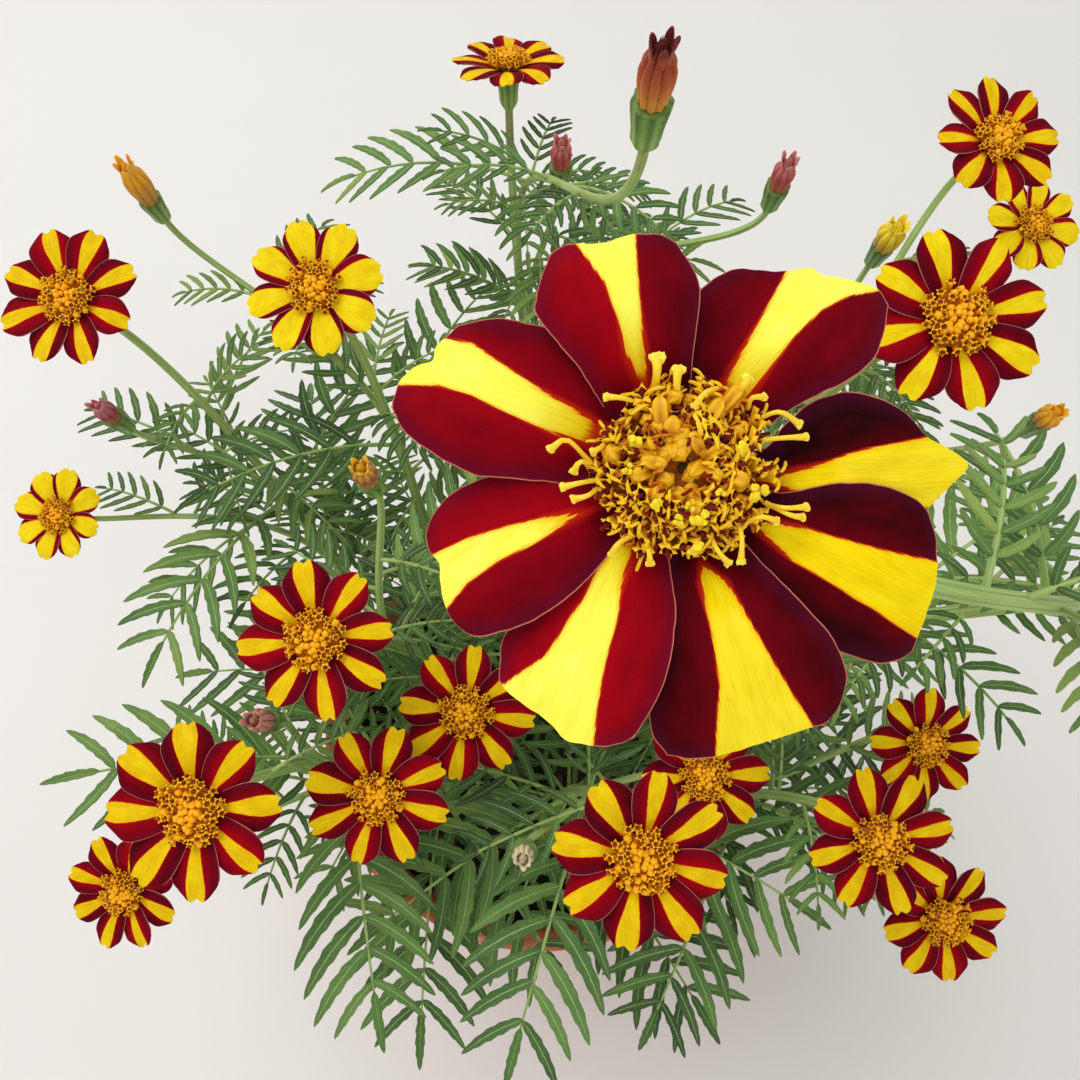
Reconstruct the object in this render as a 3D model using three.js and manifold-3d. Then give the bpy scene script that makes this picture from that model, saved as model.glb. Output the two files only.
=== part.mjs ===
// A striped single-flowered french marigold in a plain clay pot.
// Millimetres, +Z up. The origin is the middle of the pot's flat base, and the plant's best side faces -Y.

import * as THREE from 'three';
import { mergeGeometries, mergeVertices } from 'three/addons/utils/BufferGeometryUtils.js';
import Module from 'manifold-3d';

const wasm = await Module();
wasm.setup();

// Pot
const POT_HEIGHT = 146;
const POT_BASE_RADIUS = 56;
const POT_RIM_RADIUS = 84;
const POT_WALL = 7;
const POT_FLOOR = 9;
const COLLAR_HEIGHT = 26;
const COLLAR_STEP = 3.5;
const POT_CHAMFER = 2;
const POT_SIDES = 28;
const DRAIN_HOLES = 3;
const DRAIN_RADIUS = 5;
const DRAIN_CIRCLE = 30;
const DRAIN_SIDES = 12;

// Soil
const SOIL_TOP = 127;
const SOIL_MOUND = 5;
const SOIL_CLOD = 2;
const SOIL_RINGS = [0.8, 0.55, 0.28];
const FIT_GAP = 0.35;

// Stems and stalks
const STEM_RADIUS = 2.2;
const SHOOT_RADIUS = 1.25;
const STALK_RADIUS = 1;
const BURIED_DEPTH = 36;
const HOLE_RADIUS = 2.9;
const STEM_SIDES = 6;
const STALK_SIDES = 4;
const CUP_SIDES = 5;
const STEM_STEP = 34;
const ROUTE_STEP = 20;
const FORK_SHARE = 0.62;
const FORK_LOWEST = 0.25;
const FORK_HIGHEST = 0.72;
const RISING_PULL = 0.42;
const HEAD_PULL = 0.34;

// Blooms, as shares of their width across
const MAIN_ACROSS = 50;
const CALYX_LENGTH = 0.34;
const CALYX_RADIUS = 0.1;
const HUB_RADIUS = 0.09;
const DISC_RADIUS = 0.165;
const DISC_RISE = 0.08;
const PETAL_ROOT = 0.062;
const HUB_FOOT = -0.062;
const PETAL_THICKNESS = 0.6;
const PETAL_ROLL = 0.12;
const PETAL_SPREAD = 0.39;
const PETAL_WIDEST = 0.76;
const PETAL_NOTCH = 0.94;
const PETAL_TIP = 0.1;
const PETAL_LENGTH = 0.49;
const PETAL_LENGTH_DRAW = 0.03;
const PETAL_LEAN_DRAW = 0.09;
const ARCH_FOOT = -0.03;
const ARCH_RISE = 0.072;
const ARCH_TURN = 2.2;
const PETALS = 8;
const FLORETS = 24;
const STYLES = 11;

// Buds
const BUD_RADIUS = 3.1;
const BUD_SIDES = 8;
const BUD_CUP = { top: 0, length: 12, radius: 3.4 };

// Leaves
const LEAF_THICKNESS = 0.62;
const LEAF_BEND = 1.05;
const LEAF_VEE = 0.16;
const LEAF_SPACING = 46;
const LEAF_FIRST = 20;
const PLANT_MIDDLE_Y = 4;
const CANOPY_HEIGHT = 200;
const LEAF_LONGEST = 102;
const LEAF_SHORTEST = 60;
const FOUR_PAIRS_FROM = 84;
const LEAF_CLEARANCE = 5.5;
const LEAF_SAMPLES = 14;
const LEAFLET_SHARE = 0.27;
const LEAFLET_SWEEP = THREE.MathUtils.degToRad(54);
const LEAF_BARE = 0.18;
const LEAFY_LEADER = 0.66;
const LEAFY_SHOOT = 0.3;
const SHOOT_FIRST_LEAF = 4;
const SHOOT_TWIST = 0.7;
const STEM_TWIST = 0.4;
const BLOOM_CLEARANCE = 5;
const FACE_CLEARANCE = 45;
const SEEN_SHARE = 0.42;
const EYE = new THREE.Vector3(0, -122.7, 497.5);
const STALK_CLEARANCE = 9;
const GOLDEN_TURN = THREE.MathUtils.degToRad(137.508);
const LEAF_TURNS = [0, 20, -20, 42, -42, 66, -66, 95, -95, 130, -130].map(THREE.MathUtils.degToRad);
const LEAF_RISES = [34, 56, 14].map(THREE.MathUtils.degToRad);

// The blooms face the light, forwards and up
const FACING = new THREE.Vector3(0, -0.5, 0.866);

// The large bloom's petals in the order that they overlap: direction, length, width and roll
const MAIN_PETALS = [
  { toward: 105, length: 20.6, width: 15.4, roll: 0, lift: 1.3 },
  { toward: 160, length: 24.8, width: 15.4, roll: 1, lift: 0 },
  { toward: 208, length: 23.6, width: 15.2, roll: 1, lift: 0 },
  { toward: 246, length: 25.3, width: 16.4, roll: 1, lift: 0 },
  { toward: 286, length: 25.4, width: 17.2, roll: 1, lift: 0 },
  { toward: 331, length: 24.8, width: 15.8, roll: 1, lift: 0 },
  { toward: 362, length: 25.0, width: 15.6, roll: 1, lift: 0 },
  { toward: 411, length: 21.8, width: 15.8, roll: -1, lift: 0 },
];

// The leafy stems: where each stands in the soil, and the heads that it carries, its leader's first.
// A head is placed by the middle of its face, and a bloom's size is its width across.
const STEMS = [
  {
    name: 'main',
    base: [42, -4],
    heads: [{ name: 'main', bloom: true, at: [12, -76, 430], across: MAIN_ACROSS, tilt: [0, 0] }],
    route: [[50, -7, 195], [78, -22, 275], [96, -44, 338], [80, -59, 367], [53, -65, 385], [24, -61, 394]],
  },
  {
    name: 'front',
    base: [6, -34],
    heads: [
      { name: 'front', bloom: true, at: [23, -79, 277], across: 42, tilt: [0.03, 0.02] },
      { name: 'front_hidden', bloom: true, at: [47, -47, 231], across: 38, tilt: [0.05, 0.1] },
      { name: 'front_papery', at: [-4, -74, 259], length: 14 },
    ],
  },
  {
    name: 'front_right',
    base: [44, -34],
    heads: [
      { name: 'front_right', bloom: true, at: [86, -70, 254], across: 38, tilt: [-0.06, 0.04] },
      { name: 'right_low', bloom: true, at: [120, -32, 213], across: 36, tilt: [0.06, 0.02] },
      { name: 'front_far_right', bloom: true, at: [117, -82, 207], across: 38, tilt: [0.08, -0.05] },
    ],
  },
  {
    name: 'front_left',
    base: [-34, -26],
    heads: [
      { name: 'front_left', bloom: true, at: [-82, -67, 273], across: 44, tilt: [-0.08, 0.02] },
      { name: 'front_mid', bloom: true, at: [-42, -59, 255], across: 38, tilt: [0.02, -0.06] },
      { name: 'front_far_left', bloom: true, at: [-131, -71, 187], across: 38, tilt: [-0.15, -0.05] },
      { name: 'front_pink', at: [-70, -43, 267], length: 13 },
    ],
  },
  {
    name: 'centre_left',
    base: [-22, -2],
    heads: [
      { name: 'centre_left', bloom: true, at: [-54, -30, 289], across: 40, tilt: [-0.08, 0.02] },
      { name: 'centre_low', bloom: true, at: [-20, -36, 254], across: 38, tilt: [0.05, 0.04] },
      { name: 'centre_orange', at: [-42, 5, 306], length: 13 },
    ],
  },
  {
    name: 'right_back',
    base: [36, 30],
    heads: [
      { name: 'right_high', bloom: true, at: [96, 30, 335], across: 44, tilt: [0.04, -0.05] },
      { name: 'right_far', bloom: true, at: [148, 100, 301], across: 30, tilt: [0.1, 0.05] },
      { name: 'right_top', bloom: true, at: [117, 86, 341], across: 34, tilt: [0.1, 0.12] },
      { name: 'right_folded', at: [104, 96, 297], length: 13 },
      { name: 'right_spent', at: [150, 48, 273], length: 10 },
    ],
  },
  {
    name: 'left',
    base: [-46, 8],
    heads: [
      { name: 'left_high', bloom: true, at: [-136, 73, 298], across: 42, tilt: [-0.06, 0.06] },
      { name: 'left_far', bloom: true, at: [-160, 40, 232], across: 32, tilt: [-0.12, 0.05] },
      { name: 'left_pink', at: [-129, 51, 271], length: 12 },
    ],
  },
  {
    name: 'left_back',
    base: [-32, 28],
    heads: [
      { name: 'left_yellow', bloom: true, at: [-62, 66, 309], across: 40, tilt: [-0.05, 0.04] },
      { name: 'left_orange', at: [-114, 100, 311], length: 18 },
    ],
  },
  {
    name: 'back',
    base: [4, 40],
    heads: [
      { name: 'back', bloom: true, at: [-10, 150, 320], across: 36, tilt: [0, 0.64] },
      { name: 'back_pink', at: [6, 106, 318], length: 12 },
      { name: 'back_right', at: [66, 92, 322], length: 13 },
      { name: 'tall', at: [18, 13, 403], length: 14 },
    ],
  },
];

const PETAL_CRIMSON = new THREE.MeshStandardMaterial({ color: 0x8e0014, roughness: 0.8, metalness: 0 });
const DISC_GOLD = new THREE.MeshStandardMaterial({ color: 0xdcaa0a, roughness: 0.7, metalness: 0 });
const BUD_ORANGE = new THREE.MeshStandardMaterial({ color: 0xb8481c, roughness: 0.7, metalness: 0 });
const LEAF_GREEN = new THREE.MeshStandardMaterial({ color: 0x5f8a50, roughness: 0.6, metalness: 0 });
const SOIL_BROWN = new THREE.MeshStandardMaterial({ color: 0x3a2c22, roughness: 0.95, metalness: 0 });
const CLAY = new THREE.MeshStandardMaterial({ color: 0xb4623c, roughness: 0.85, metalness: 0 });

// Gives a run of numbers from 0 to 1 that is the same each time for one seed
function draws(seed) {
  let state = seed * 7919 + 12345;
  return () => {
    state = (Math.imul(state, 1664525) + 1013904223) >>> 0;
    return state / 4294967296;
  };
}

// Makes a closed mesh with shared corners into a solid that can be joined and cut
function solid(geometry) {
  const bare = new THREE.BufferGeometry();
  bare.setAttribute('position', geometry.getAttribute('position'));
  bare.setIndex(geometry.getIndex());
  const merged = mergeVertices(bare, 1e-4);
  const index = merged.getIndex().array;
  const faces = [];
  for (let i = 0; i < index.length; i += 3) {
    const [a, b, c] = index.slice(i, i + 3);
    if (a !== b && b !== c && c !== a) {
      faces.push(a, b, c);
    }
  }
  const vertProperties = Float32Array.from(merged.getAttribute('position').array);
  return new wasm.Manifold(new wasm.Mesh({ numProp: 3, vertProperties, triVerts: Uint32Array.from(faces) }));
}

// Joins a list of closed meshes into one body
function fuse(geometries) {
  return wasm.Manifold.union(geometries.map(solid));
}

// The mesh of a body, without the loose scraps that joining can leave
function toGeometry(body) {
  const [whole] = body.decompose().sort((one, other) => other.volume() - one.volume());
  const mesh = whole.getMesh();
  const geometry = new THREE.BufferGeometry();
  geometry.setAttribute('position', new THREE.BufferAttribute(mesh.vertProperties, mesh.numProp));
  geometry.setIndex(new THREE.BufferAttribute(mesh.triVerts, 1));
  return geometry;
}

// Moves every corner of a geometry to the place that a rule gives it
function reshape(geometry, rule) {
  const position = geometry.getAttribute('position');
  const corner = new THREE.Vector3();
  for (let i = 0; i < position.count; i += 1) {
    corner.fromBufferAttribute(position, i);
    position.setXYZ(i, ...rule(corner).toArray());
  }
  return geometry;
}

// Gives an open sheet its thickness: the same triangles on both faces, and a wall round the edge
function thicken(sheet, thickness) {
  const bare = new THREE.BufferGeometry();
  bare.setAttribute('position', sheet.getAttribute('position'));
  bare.setIndex(sheet.getIndex());
  const merged = mergeVertices(bare, 1e-4);
  merged.computeVertexNormals();
  const position = merged.getAttribute('position');
  const normal = merged.getAttribute('normal');
  const count = position.count;
  const corners = [];
  for (const side of [thickness / 2, -thickness / 2]) {
    for (let i = 0; i < count; i += 1) {
      corners.push(position.getX(i) + side * normal.getX(i));
      corners.push(position.getY(i) + side * normal.getY(i));
      corners.push(position.getZ(i) + side * normal.getZ(i));
    }
  }
  const index = merged.getIndex().array;
  const faces = [];
  const edges = new Map();
  for (let i = 0; i < index.length; i += 3) {
    const [a, b, c] = index.slice(i, i + 3);
    faces.push(a, b, c, a + count, c + count, b + count);
    for (const [p, q] of [[a, b], [b, c], [c, a]]) {
      edges.set(`${p}_${q}`, [p, q]);
    }
  }
  for (const [p, q] of edges.values()) {
    if (!edges.has(`${q}_${p}`)) {
      faces.push(q, p, p + count, q, p + count, q + count);
    }
  }
  const closed = new THREE.BufferGeometry();
  closed.setAttribute('position', new THREE.Float32BufferAttribute(corners, 3));
  closed.setIndex(faces);
  return closed;
}

// A closed tube along a shoot, from one radius to another. A leader starts at its foot in the soil.
function tube({ curve, line, start, end }, foot, sides) {
  const frames = curve.computeFrenetFrames(line.length - 1);
  const way = foot ? [foot, ...line] : line;
  const steps = way.length - 1;
  return reshape(new THREE.CylinderGeometry(1, 1, 1, sides, steps), (corner) => {
    const along = corner.y + 0.5;
    const ring = Math.round(along * steps);
    const frame = Math.max(ring - (foot ? 1 : 0), 0);
    const radius = THREE.MathUtils.lerp(start, end, along);
    return way[ring]
      .clone()
      .addScaledVector(frames.normals[frame], corner.x * radius)
      .addScaledVector(frames.binormals[frame], -corner.z * radius);
  });
}

// The place at a share of a shoot's line
function placeOn(line, share) {
  const at = share * (line.length - 1);
  const from = Math.min(Math.floor(at), line.length - 2);
  return line[from].clone().lerp(line[from + 1], at - from);
}

// A turned shape about +Z from a profile of radius and height pairs
function turned(profile, sides) {
  const points = profile.map(([radius, height]) => new THREE.Vector2(radius, height));
  return new THREE.LatheGeometry(points, sides).rotateX(Math.PI / 2);
}

// Pot and soil

function innerRadius(height) {
  const slope = (POT_RIM_RADIUS - POT_BASE_RADIUS) / POT_HEIGHT;
  return POT_BASE_RADIUS - POT_WALL + slope * height;
}

function buildPot() {
  const collarFoot = POT_HEIGHT - COLLAR_HEIGHT;
  const bodyTop = POT_RIM_RADIUS - COLLAR_STEP * 2;
  const rimInner = innerRadius(POT_HEIGHT);
  const wall = turned([
    [0, 0],
    [POT_BASE_RADIUS - POT_CHAMFER, 0],
    [POT_BASE_RADIUS, POT_CHAMFER],
    [bodyTop, collarFoot],
    [bodyTop + COLLAR_STEP, collarFoot],
    [POT_RIM_RADIUS, POT_HEIGHT - POT_CHAMFER],
    [POT_RIM_RADIUS - POT_CHAMFER, POT_HEIGHT],
    [rimInner + POT_CHAMFER, POT_HEIGHT],
    [innerRadius(POT_HEIGHT - POT_CHAMFER), POT_HEIGHT - POT_CHAMFER],
    [innerRadius(POT_FLOOR), POT_FLOOR],
    [0, POT_FLOOR],
  ], POT_SIDES);
  let body = solid(wall);
  for (let i = 0; i < DRAIN_HOLES; i += 1) {
    const angle = (i / DRAIN_HOLES) * 2 * Math.PI + Math.PI / 2;
    const hole = new THREE.CylinderGeometry(DRAIN_RADIUS, DRAIN_RADIUS, POT_FLOOR * 3, DRAIN_SIDES);
    hole.rotateX(Math.PI / 2).translate(DRAIN_CIRCLE * Math.cos(angle), DRAIN_CIRCLE * Math.sin(angle), 0);
    body = body.subtract(solid(hole));
  }
  return toGeometry(body);
}

function buildSoil() {
  const edge = innerRadius(SOIL_TOP) - FIT_GAP;
  const floor = POT_FLOOR + FIT_GAP;
  const profile = [[0, floor], [innerRadius(floor) - FIT_GAP, floor], [edge, SOIL_TOP]];
  for (const share of SOIL_RINGS) {
    profile.push([edge * share, SOIL_TOP + SOIL_MOUND * (1 - share * share)]);
  }
  profile.push([0, SOIL_TOP + SOIL_MOUND]);
  const body = reshape(turned(profile, POT_SIDES), ({ x, y, z }) => {
    const clod = (Math.sin(x * 0.31 + y * 0.17) + Math.cos(y * 0.27 - x * 0.12)) / 2;
    const isTop = z > SOIL_TOP + SOIL_MOUND / 10;
    return new THREE.Vector3(x, y, isTop ? z + SOIL_CLOD * clod : z);
  });
  return toGeometry(solid(body).subtract(fuse(STEMS.map(stemHole))));
}

// The plain hole that a stem stands in
function stemHole(stem) {
  const top = SOIL_TOP + 3 * SOIL_MOUND;
  const foot = SOIL_TOP - BURIED_DEPTH - FIT_GAP;
  const hole = new THREE.CylinderGeometry(HOLE_RADIUS, HOLE_RADIUS, top - foot, STEM_SIDES);
  return hole.rotateX(Math.PI / 2).translate(stem.base[0], stem.base[1], (top + foot) / 2);
}

// Blooms and buds, each about +Z with the middle of its face at the origin

// The half width of a petal at a share of its length: a narrow claw, a broad middle and a round end
function petalHalfWidth(along) {
  const claw = 0.27;
  const broadest = 0.7;
  const taper = 0.34;
  const swell = Math.sin(Math.min(along / broadest, 1) * Math.PI * 0.5);
  const close = Math.max(along - broadest, 0) / (1 - broadest);
  return claw + (1 - claw) * swell - taper * close * close;
}

// How high a petal stands at a share of its length, for a bloom of this width
function petalArch(along, across) {
  return across * (ARCH_FOOT + ARCH_RISE * Math.sin(along * ARCH_TURN));
}

// A petal of the large bloom, along +X. Its round end has two lobes with a shallow notch between them.
function mainPetal({ length, width, roll, lift }) {
  const root = PETAL_ROOT * MAIN_ACROSS;
  const notch = 0.045;
  const shoulder = 0.13;
  const sheet = reshape(new THREE.PlaneGeometry(2, 1, 4, 3), (corner) => {
    const side = corner.x;
    const along = corner.y + 0.5;
    const lobe = notch * Math.max(0, 1 - Math.abs(side) * 3) + shoulder * Math.abs(side) ** 3;
    const x = root + (length - root) * along * (1 - lobe * along ** 3);
    const y = -side * (width / 2) * petalHalfWidth(along);
    const ramp = THREE.MathUtils.clamp((along - 0.12) * 1.9, 0, 1);
    const z = petalArch(along, MAIN_ACROSS) + (PETAL_ROLL * roll * y + lift) * ramp;
    return new THREE.Vector3(x, y, z);
  });
  return thicken(sheet, PETAL_THICKNESS);
}

// The rays of a smaller bloom: one sheet, cut between its petals down to the ring that they grow from
function corolla(head, draw) {
  const { across } = head;
  const root = PETAL_ROOT * across;
  const step = (2 * Math.PI) / PETALS;
  const start = draw() * Math.PI;
  const rootSide = [root * Math.cos(step / 2), root * Math.sin(step / 2)];
  const ring = new THREE.CircleGeometry(root, PETALS, start - step / 2);
  const sheets = [ring.translate(0, 0, petalArch(0, across))];
  for (let i = 0; i < PETALS; i += 1) {
    const lean = PETAL_LEAN_DRAW * (draw() - 0.5);
    const length = across * (PETAL_LENGTH + PETAL_LENGTH_DRAW * (draw() - 0.5));
    const widest = PETAL_WIDEST * length;
    const side = [rootSide, [widest, PETAL_SPREAD * widest], [length, PETAL_TIP * across]];
    const outline = [...side.map(([x, y]) => [x, -y]), [PETAL_NOTCH * length, 0], ...side.reverse()];
    const sheet = new THREE.ShapeGeometry(new THREE.Shape(outline.map(([x, y]) => new THREE.Vector2(x, y))));
    sheets.push(reshape(sheet, ({ x, y }) => {
      const along = Math.max((Math.hypot(x, y) - root) / (length - root), 0);
      const z = petalArch(along, across) + PETAL_ROLL * y * Math.min(along * 1.5, 1);
      const turn = start + i * step + lean * along;
      return new THREE.Vector3(x, y, z).applyAxisAngle(new THREE.Vector3(0, 0, 1), turn);
    }));
  }
  for (const sheet of sheets) {
    sheet.deleteAttribute('normal');
    sheet.deleteAttribute('uv');
  }
  return thicken(mergeGeometries(sheets), PETAL_THICKNESS);
}

function petalHub() {
  const radius = HUB_RADIUS * MAIN_ACROSS;
  const foot = HUB_FOOT * MAIN_ACROSS;
  return turned([[0, foot], [radius * 0.8, foot], [radius, -0.8], [radius * 0.7, 0.1], [0, 0.1]], PETALS);
}

function buildRays(head, seed) {
  if (head.name !== 'main') {
    return toGeometry(solid(corolla(head, draws(seed))));
  }
  const petals = MAIN_PETALS.map((shape) => mainPetal(shape).rotateZ(THREE.MathUtils.degToRad(shape.toward)));
  return toGeometry(fuse([petalHub(), ...petals]));
}

// The dome of florets: raised and sunk by turns round the rings
function buildDisc(head) {
  const radius = DISC_RADIUS * head.across;
  const rise = DISC_RISE * head.across;
  const foot = 0.002 * head.across + FIT_GAP + 0.15;
  const main = head.name === 'main';
  const dome = [[0, foot], [radius * 0.75, foot], [radius, foot + rise * 0.35]];
  for (const share of main ? [0.8, 0.55, 0.3] : [0.75, 0.35]) {
    dome.push([radius * share, foot + rise * (1 - share * share * 0.6)]);
  }
  dome.push([0, foot + rise * 0.8]);
  const sides = main ? 12 : 8;
  const core = reshape(turned(dome, sides), (corner) => {
    const from = Math.hypot(corner.x, corner.y);
    const step = Math.round((Math.atan2(corner.y, corner.x) / Math.PI + 0.5) * (sides / 2));
    const ring = Math.round((from / radius) * 2.6);
    const raised = corner.z > foot + 0.01 && from > 0.01 && !main;
    const relief = (step + ring) % 2 === 0 ? 0.016 : -0.01;
    const bump = raised ? relief * head.across : 0;
    return corner.clone().add(new THREE.Vector3(0, 0, bump));
  });
  return toGeometry(main ? fuse([core, ...florets(radius, foot + rise * 0.4)]) : solid(core));
}

// Open florets and club-ended styles of the large bloom, leaning outwards towards its edge
function florets(radius, foot) {
  const tubes = [];
  for (let i = 0; i < FLORETS; i += 1) {
    const share = Math.sqrt((i + 0.6) / FLORETS);
    const lean = 0.7 * share ** 2;
    const height = 3.6 + (i % 3) * 0.5;
    const floret = new THREE.CylinderGeometry(0.85, 0.6, height, 5);
    floret.rotateX(Math.PI / 2).translate(0, 0, height / 2);
    floret.rotateY(lean).translate(radius * share * 0.9, 0, foot - share * 0.2);
    tubes.push(floret.rotateZ(i * GOLDEN_TURN));
  }
  for (let i = 0; i < STYLES; i += 1) {
    const height = 4.4 + (i % 3) * 0.7;
    const style = new THREE.CylinderGeometry(0.62, 0.42, height, 3).rotateX(Math.PI / 2);
    style.translate(0, 0, height / 2).rotateY(0.95 + 0.1 * (i % 2)).translate(radius * 0.86, 0, foot);
    tubes.push(style.rotateZ(((i + 0.5) / STYLES) * 2 * Math.PI));
  }
  return tubes;
}

// The folded petals that stand out of a bud's cup
function buildBud(head) {
  const profile = [[0, FIT_GAP], [BUD_RADIUS * 0.8, FIT_GAP], [BUD_RADIUS, head.length * 0.35]];
  profile.push([BUD_RADIUS * 0.8, head.length * 0.8], [0, head.length]);
  return toGeometry(solid(reshape(turned(profile, BUD_SIDES), (corner) => {
    const step = Math.round((Math.atan2(corner.y, corner.x) / Math.PI) * (BUD_SIDES / 2));
    const fold = step % 2 === 0 ? 1.08 : 0.86;
    return new THREE.Vector3(corner.x * fold, corner.y * fold, corner.z);
  })));
}

// Where a head stands and how it is turned
function headMatrix(head) {
  const [sideways, back] = head.tilt ?? [0, 0.2];
  const face = FACING.clone().add(new THREE.Vector3(sideways, back, 0)).normalize();
  const up = new THREE.Vector3(0, 0, 1).addScaledVector(face, -face.z).normalize();
  const right = new THREE.Vector3().crossVectors(up, face);
  return new THREE.Matrix4().makeBasis(right, up, face).setPosition(...head.at);
}

function cupSize(head) {
  if (!head.bloom) {
    return BUD_CUP;
  }
  const { across } = head;
  const rayFoot = head.name === 'main' ? HUB_FOOT * across : petalArch(0, across) - PETAL_THICKNESS / 2;
  return { top: rayFoot - FIT_GAP, length: CALYX_LENGTH * across, radius: CALYX_RADIUS * across };
}

// The green cup under a head, on its stalk
function calyx(head) {
  const { top, length, radius } = cupSize(head);
  const foot = top - length;
  const profile = [
    [0, foot - 1.5],
    [STALK_RADIUS, foot - 1.5],
    [radius * 0.75, foot + length * 0.25],
    [radius, top],
    [0, top],
  ];
  return turned(profile, CUP_SIDES).applyMatrix4(headMatrix(head));
}

// Stems and leaves

function stalkEnd(head) {
  const { top, length } = cupSize(head);
  return new THREE.Vector3(0, 0, top - length).applyMatrix4(headMatrix(head));
}

function headNormal(head) {
  return new THREE.Vector3(0, 0, 1).transformDirection(headMatrix(head));
}

// The curve of a shoot that starts upwards and comes to its head from behind
function shootCurve(start, rising, head) {
  const end = stalkEnd(head);
  const reach = start.distanceTo(end);
  const lower = start.clone().addScaledVector(rising, reach * RISING_PULL);
  const upper = end.clone().addScaledVector(headNormal(head), -reach * HEAD_PULL);
  return new THREE.CubicBezierCurve3(start, lower, upper, end);
}

function leaderCurve(stem) {
  const start = new THREE.Vector3(...stem.base, SOIL_TOP + SOIL_MOUND);
  if (!stem.route) {
    return shootCurve(start, new THREE.Vector3(0, 0, 1), stem.heads[0]);
  }
  const way = stem.route.map((point) => new THREE.Vector3(...point));
  return new THREE.CatmullRomCurve3([start, ...way, stalkEnd(stem.heads[0])], false, 'catmullrom', 0.5);
}

// A shoot of a stem: its curve, and the straight pieces that it is built from
function shoot(curve, head, start, end) {
  const length = curve.getLength();
  const steps = Math.max(3, Math.round(length / (head.name === 'main' ? ROUTE_STEP : STEM_STEP)));
  return { curve, head, start, end, length, line: curve.getSpacedPoints(steps) };
}

// A stem's shoots: its leader, then one to each other head, forking off where the leader is lower than it
function shootsOf(stem) {
  const leader = shoot(leaderCurve(stem), stem.heads[0], STEM_RADIUS, SHOOT_RADIUS);
  const reach = stem.heads[0].at[2] - SOIL_TOP;
  const shoots = [leader];
  for (const head of stem.heads.slice(1)) {
    const level = (FORK_SHARE * (head.at[2] - SOIL_TOP)) / reach;
    const share = THREE.MathUtils.clamp(level, FORK_LOWEST, FORK_HIGHEST);
    const curve = shootCurve(placeOn(leader.line, share), leader.curve.getTangentAt(share), head);
    shoots.push(shoot(curve, head, SHOOT_RADIUS, STALK_RADIUS));
  }
  return shoots;
}

// A place on a leaf from its share along the rib and its distance to the left of it
function leafPoint(leaf, along, left) {
  const angle = leaf.rise - LEAF_BEND * along;
  const out = (leaf.length / LEAF_BEND) * (Math.sin(leaf.rise) - Math.sin(angle));
  const up = (leaf.length / LEAF_BEND) * (Math.cos(angle) - Math.cos(leaf.rise));
  const vee = LEAF_VEE * Math.abs(left);
  const level = out - vee * Math.sin(angle);
  return new THREE.Vector3(
    leaf.root.x + level * Math.cos(leaf.heading) - left * Math.sin(leaf.heading),
    leaf.root.y + level * Math.sin(leaf.heading) + left * Math.cos(leaf.heading),
    leaf.root.z + up + vee * Math.cos(angle),
  );
}

function leafletLength(leaf, along) {
  return leaf.length * LEAFLET_SHARE * (0.62 + 0.5 * Math.sin(Math.PI * Math.min(along * 1.15, 1)));
}

// Places all over a leaf, from its rib to the tips of its leaflets
function leafSamples(leaf) {
  const samples = [];
  for (let step = 1; step <= LEAF_SAMPLES; step += 1) {
    const along = step / LEAF_SAMPLES;
    const side = leafletLength(leaf, along) * (along > 0.95 ? 0.3 : 0.8);
    for (const share of along < LEAF_BARE ? [0] : [-1, -0.5, 0, 0.5, 1]) {
      samples.push(leafPoint(leaf, along, share * side));
    }
  }
  return samples;
}

// Whether a place lies on a bloom's petals, over its face or in its cup
function nearHead(point, head) {
  const local = point.clone().applyMatrix4(headMatrix(head).invert());
  const from = Math.hypot(local.x, local.y);
  if (!head.bloom) {
    return from < STALK_CLEARANCE && local.z > -16 && local.z < head.length + 3;
  }
  const onPetals = from < head.across / 2 + BLOOM_CLEARANCE && Math.abs(local.z) < STALK_CLEARANCE;
  const inFront = from < head.across / 2 && local.z > 0 && local.z < FACE_CLEARANCE;
  const onCup = from < STALK_CLEARANCE && local.z > -0.5 * head.across && local.z < 0;
  return onPetals || inFront || onCup;
}

// Whether a place hides a bloom's face from where the photograph was taken
function hidesBloom(point, head) {
  if (!head.bloom) {
    return false;
  }
  const into = headMatrix(head).invert();
  const eye = EYE.clone().applyMatrix4(into);
  const local = point.clone().applyMatrix4(into);
  if (local.z < 1 || local.z > eye.z) {
    return false;
  }
  const seen = local.sub(eye).multiplyScalar(eye.z / (eye.z - local.z)).add(eye);
  return Math.hypot(seen.x, seen.y) < head.across * SEEN_SHARE;
}

function inPot(point) {
  const from = Math.hypot(point.x, point.y);
  const floor = from < innerRadius(SOIL_TOP) - 6 ? SOIL_TOP + 12 : POT_HEIGHT + 6;
  return from < POT_RIM_RADIUS + 8 && point.z < floor;
}

// Whether a leaf clears the pot, every head and the view of it, and every stem and leaf but its own stem's
function isClear(samples, owner, taken) {
  const heads = STEMS.flatMap((stem) => stem.heads);
  const others = taken.filter((entry) => entry.owner !== owner);
  const near = LEAF_CLEARANCE * LEAF_CLEARANCE;
  return samples.every((sample) => {
    const isTaken = others.some(({ point }) => sample.distanceToSquared(point) < near);
    return !isTaken && !inPot(sample)
      && !heads.some((head) => nearHead(sample, head) || hidesBloom(sample, head));
  });
}

// A leaf takes the first heading and rise at which it clears what already stands, or doesn't grow
function growLeaf(root, heading, length, owner, taken) {
  for (const rise of LEAF_RISES) {
    for (const turn of LEAF_TURNS) {
      const leaf = { root, heading: heading + turn, rise, length };
      const samples = leafSamples(leaf);
      if (isClear(samples, owner, taken)) {
        samples.forEach((point) => taken.push({ point, owner: `${owner}_leaf` }));
        return leaf;
      }
    }
  }
  return null;
}

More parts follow.
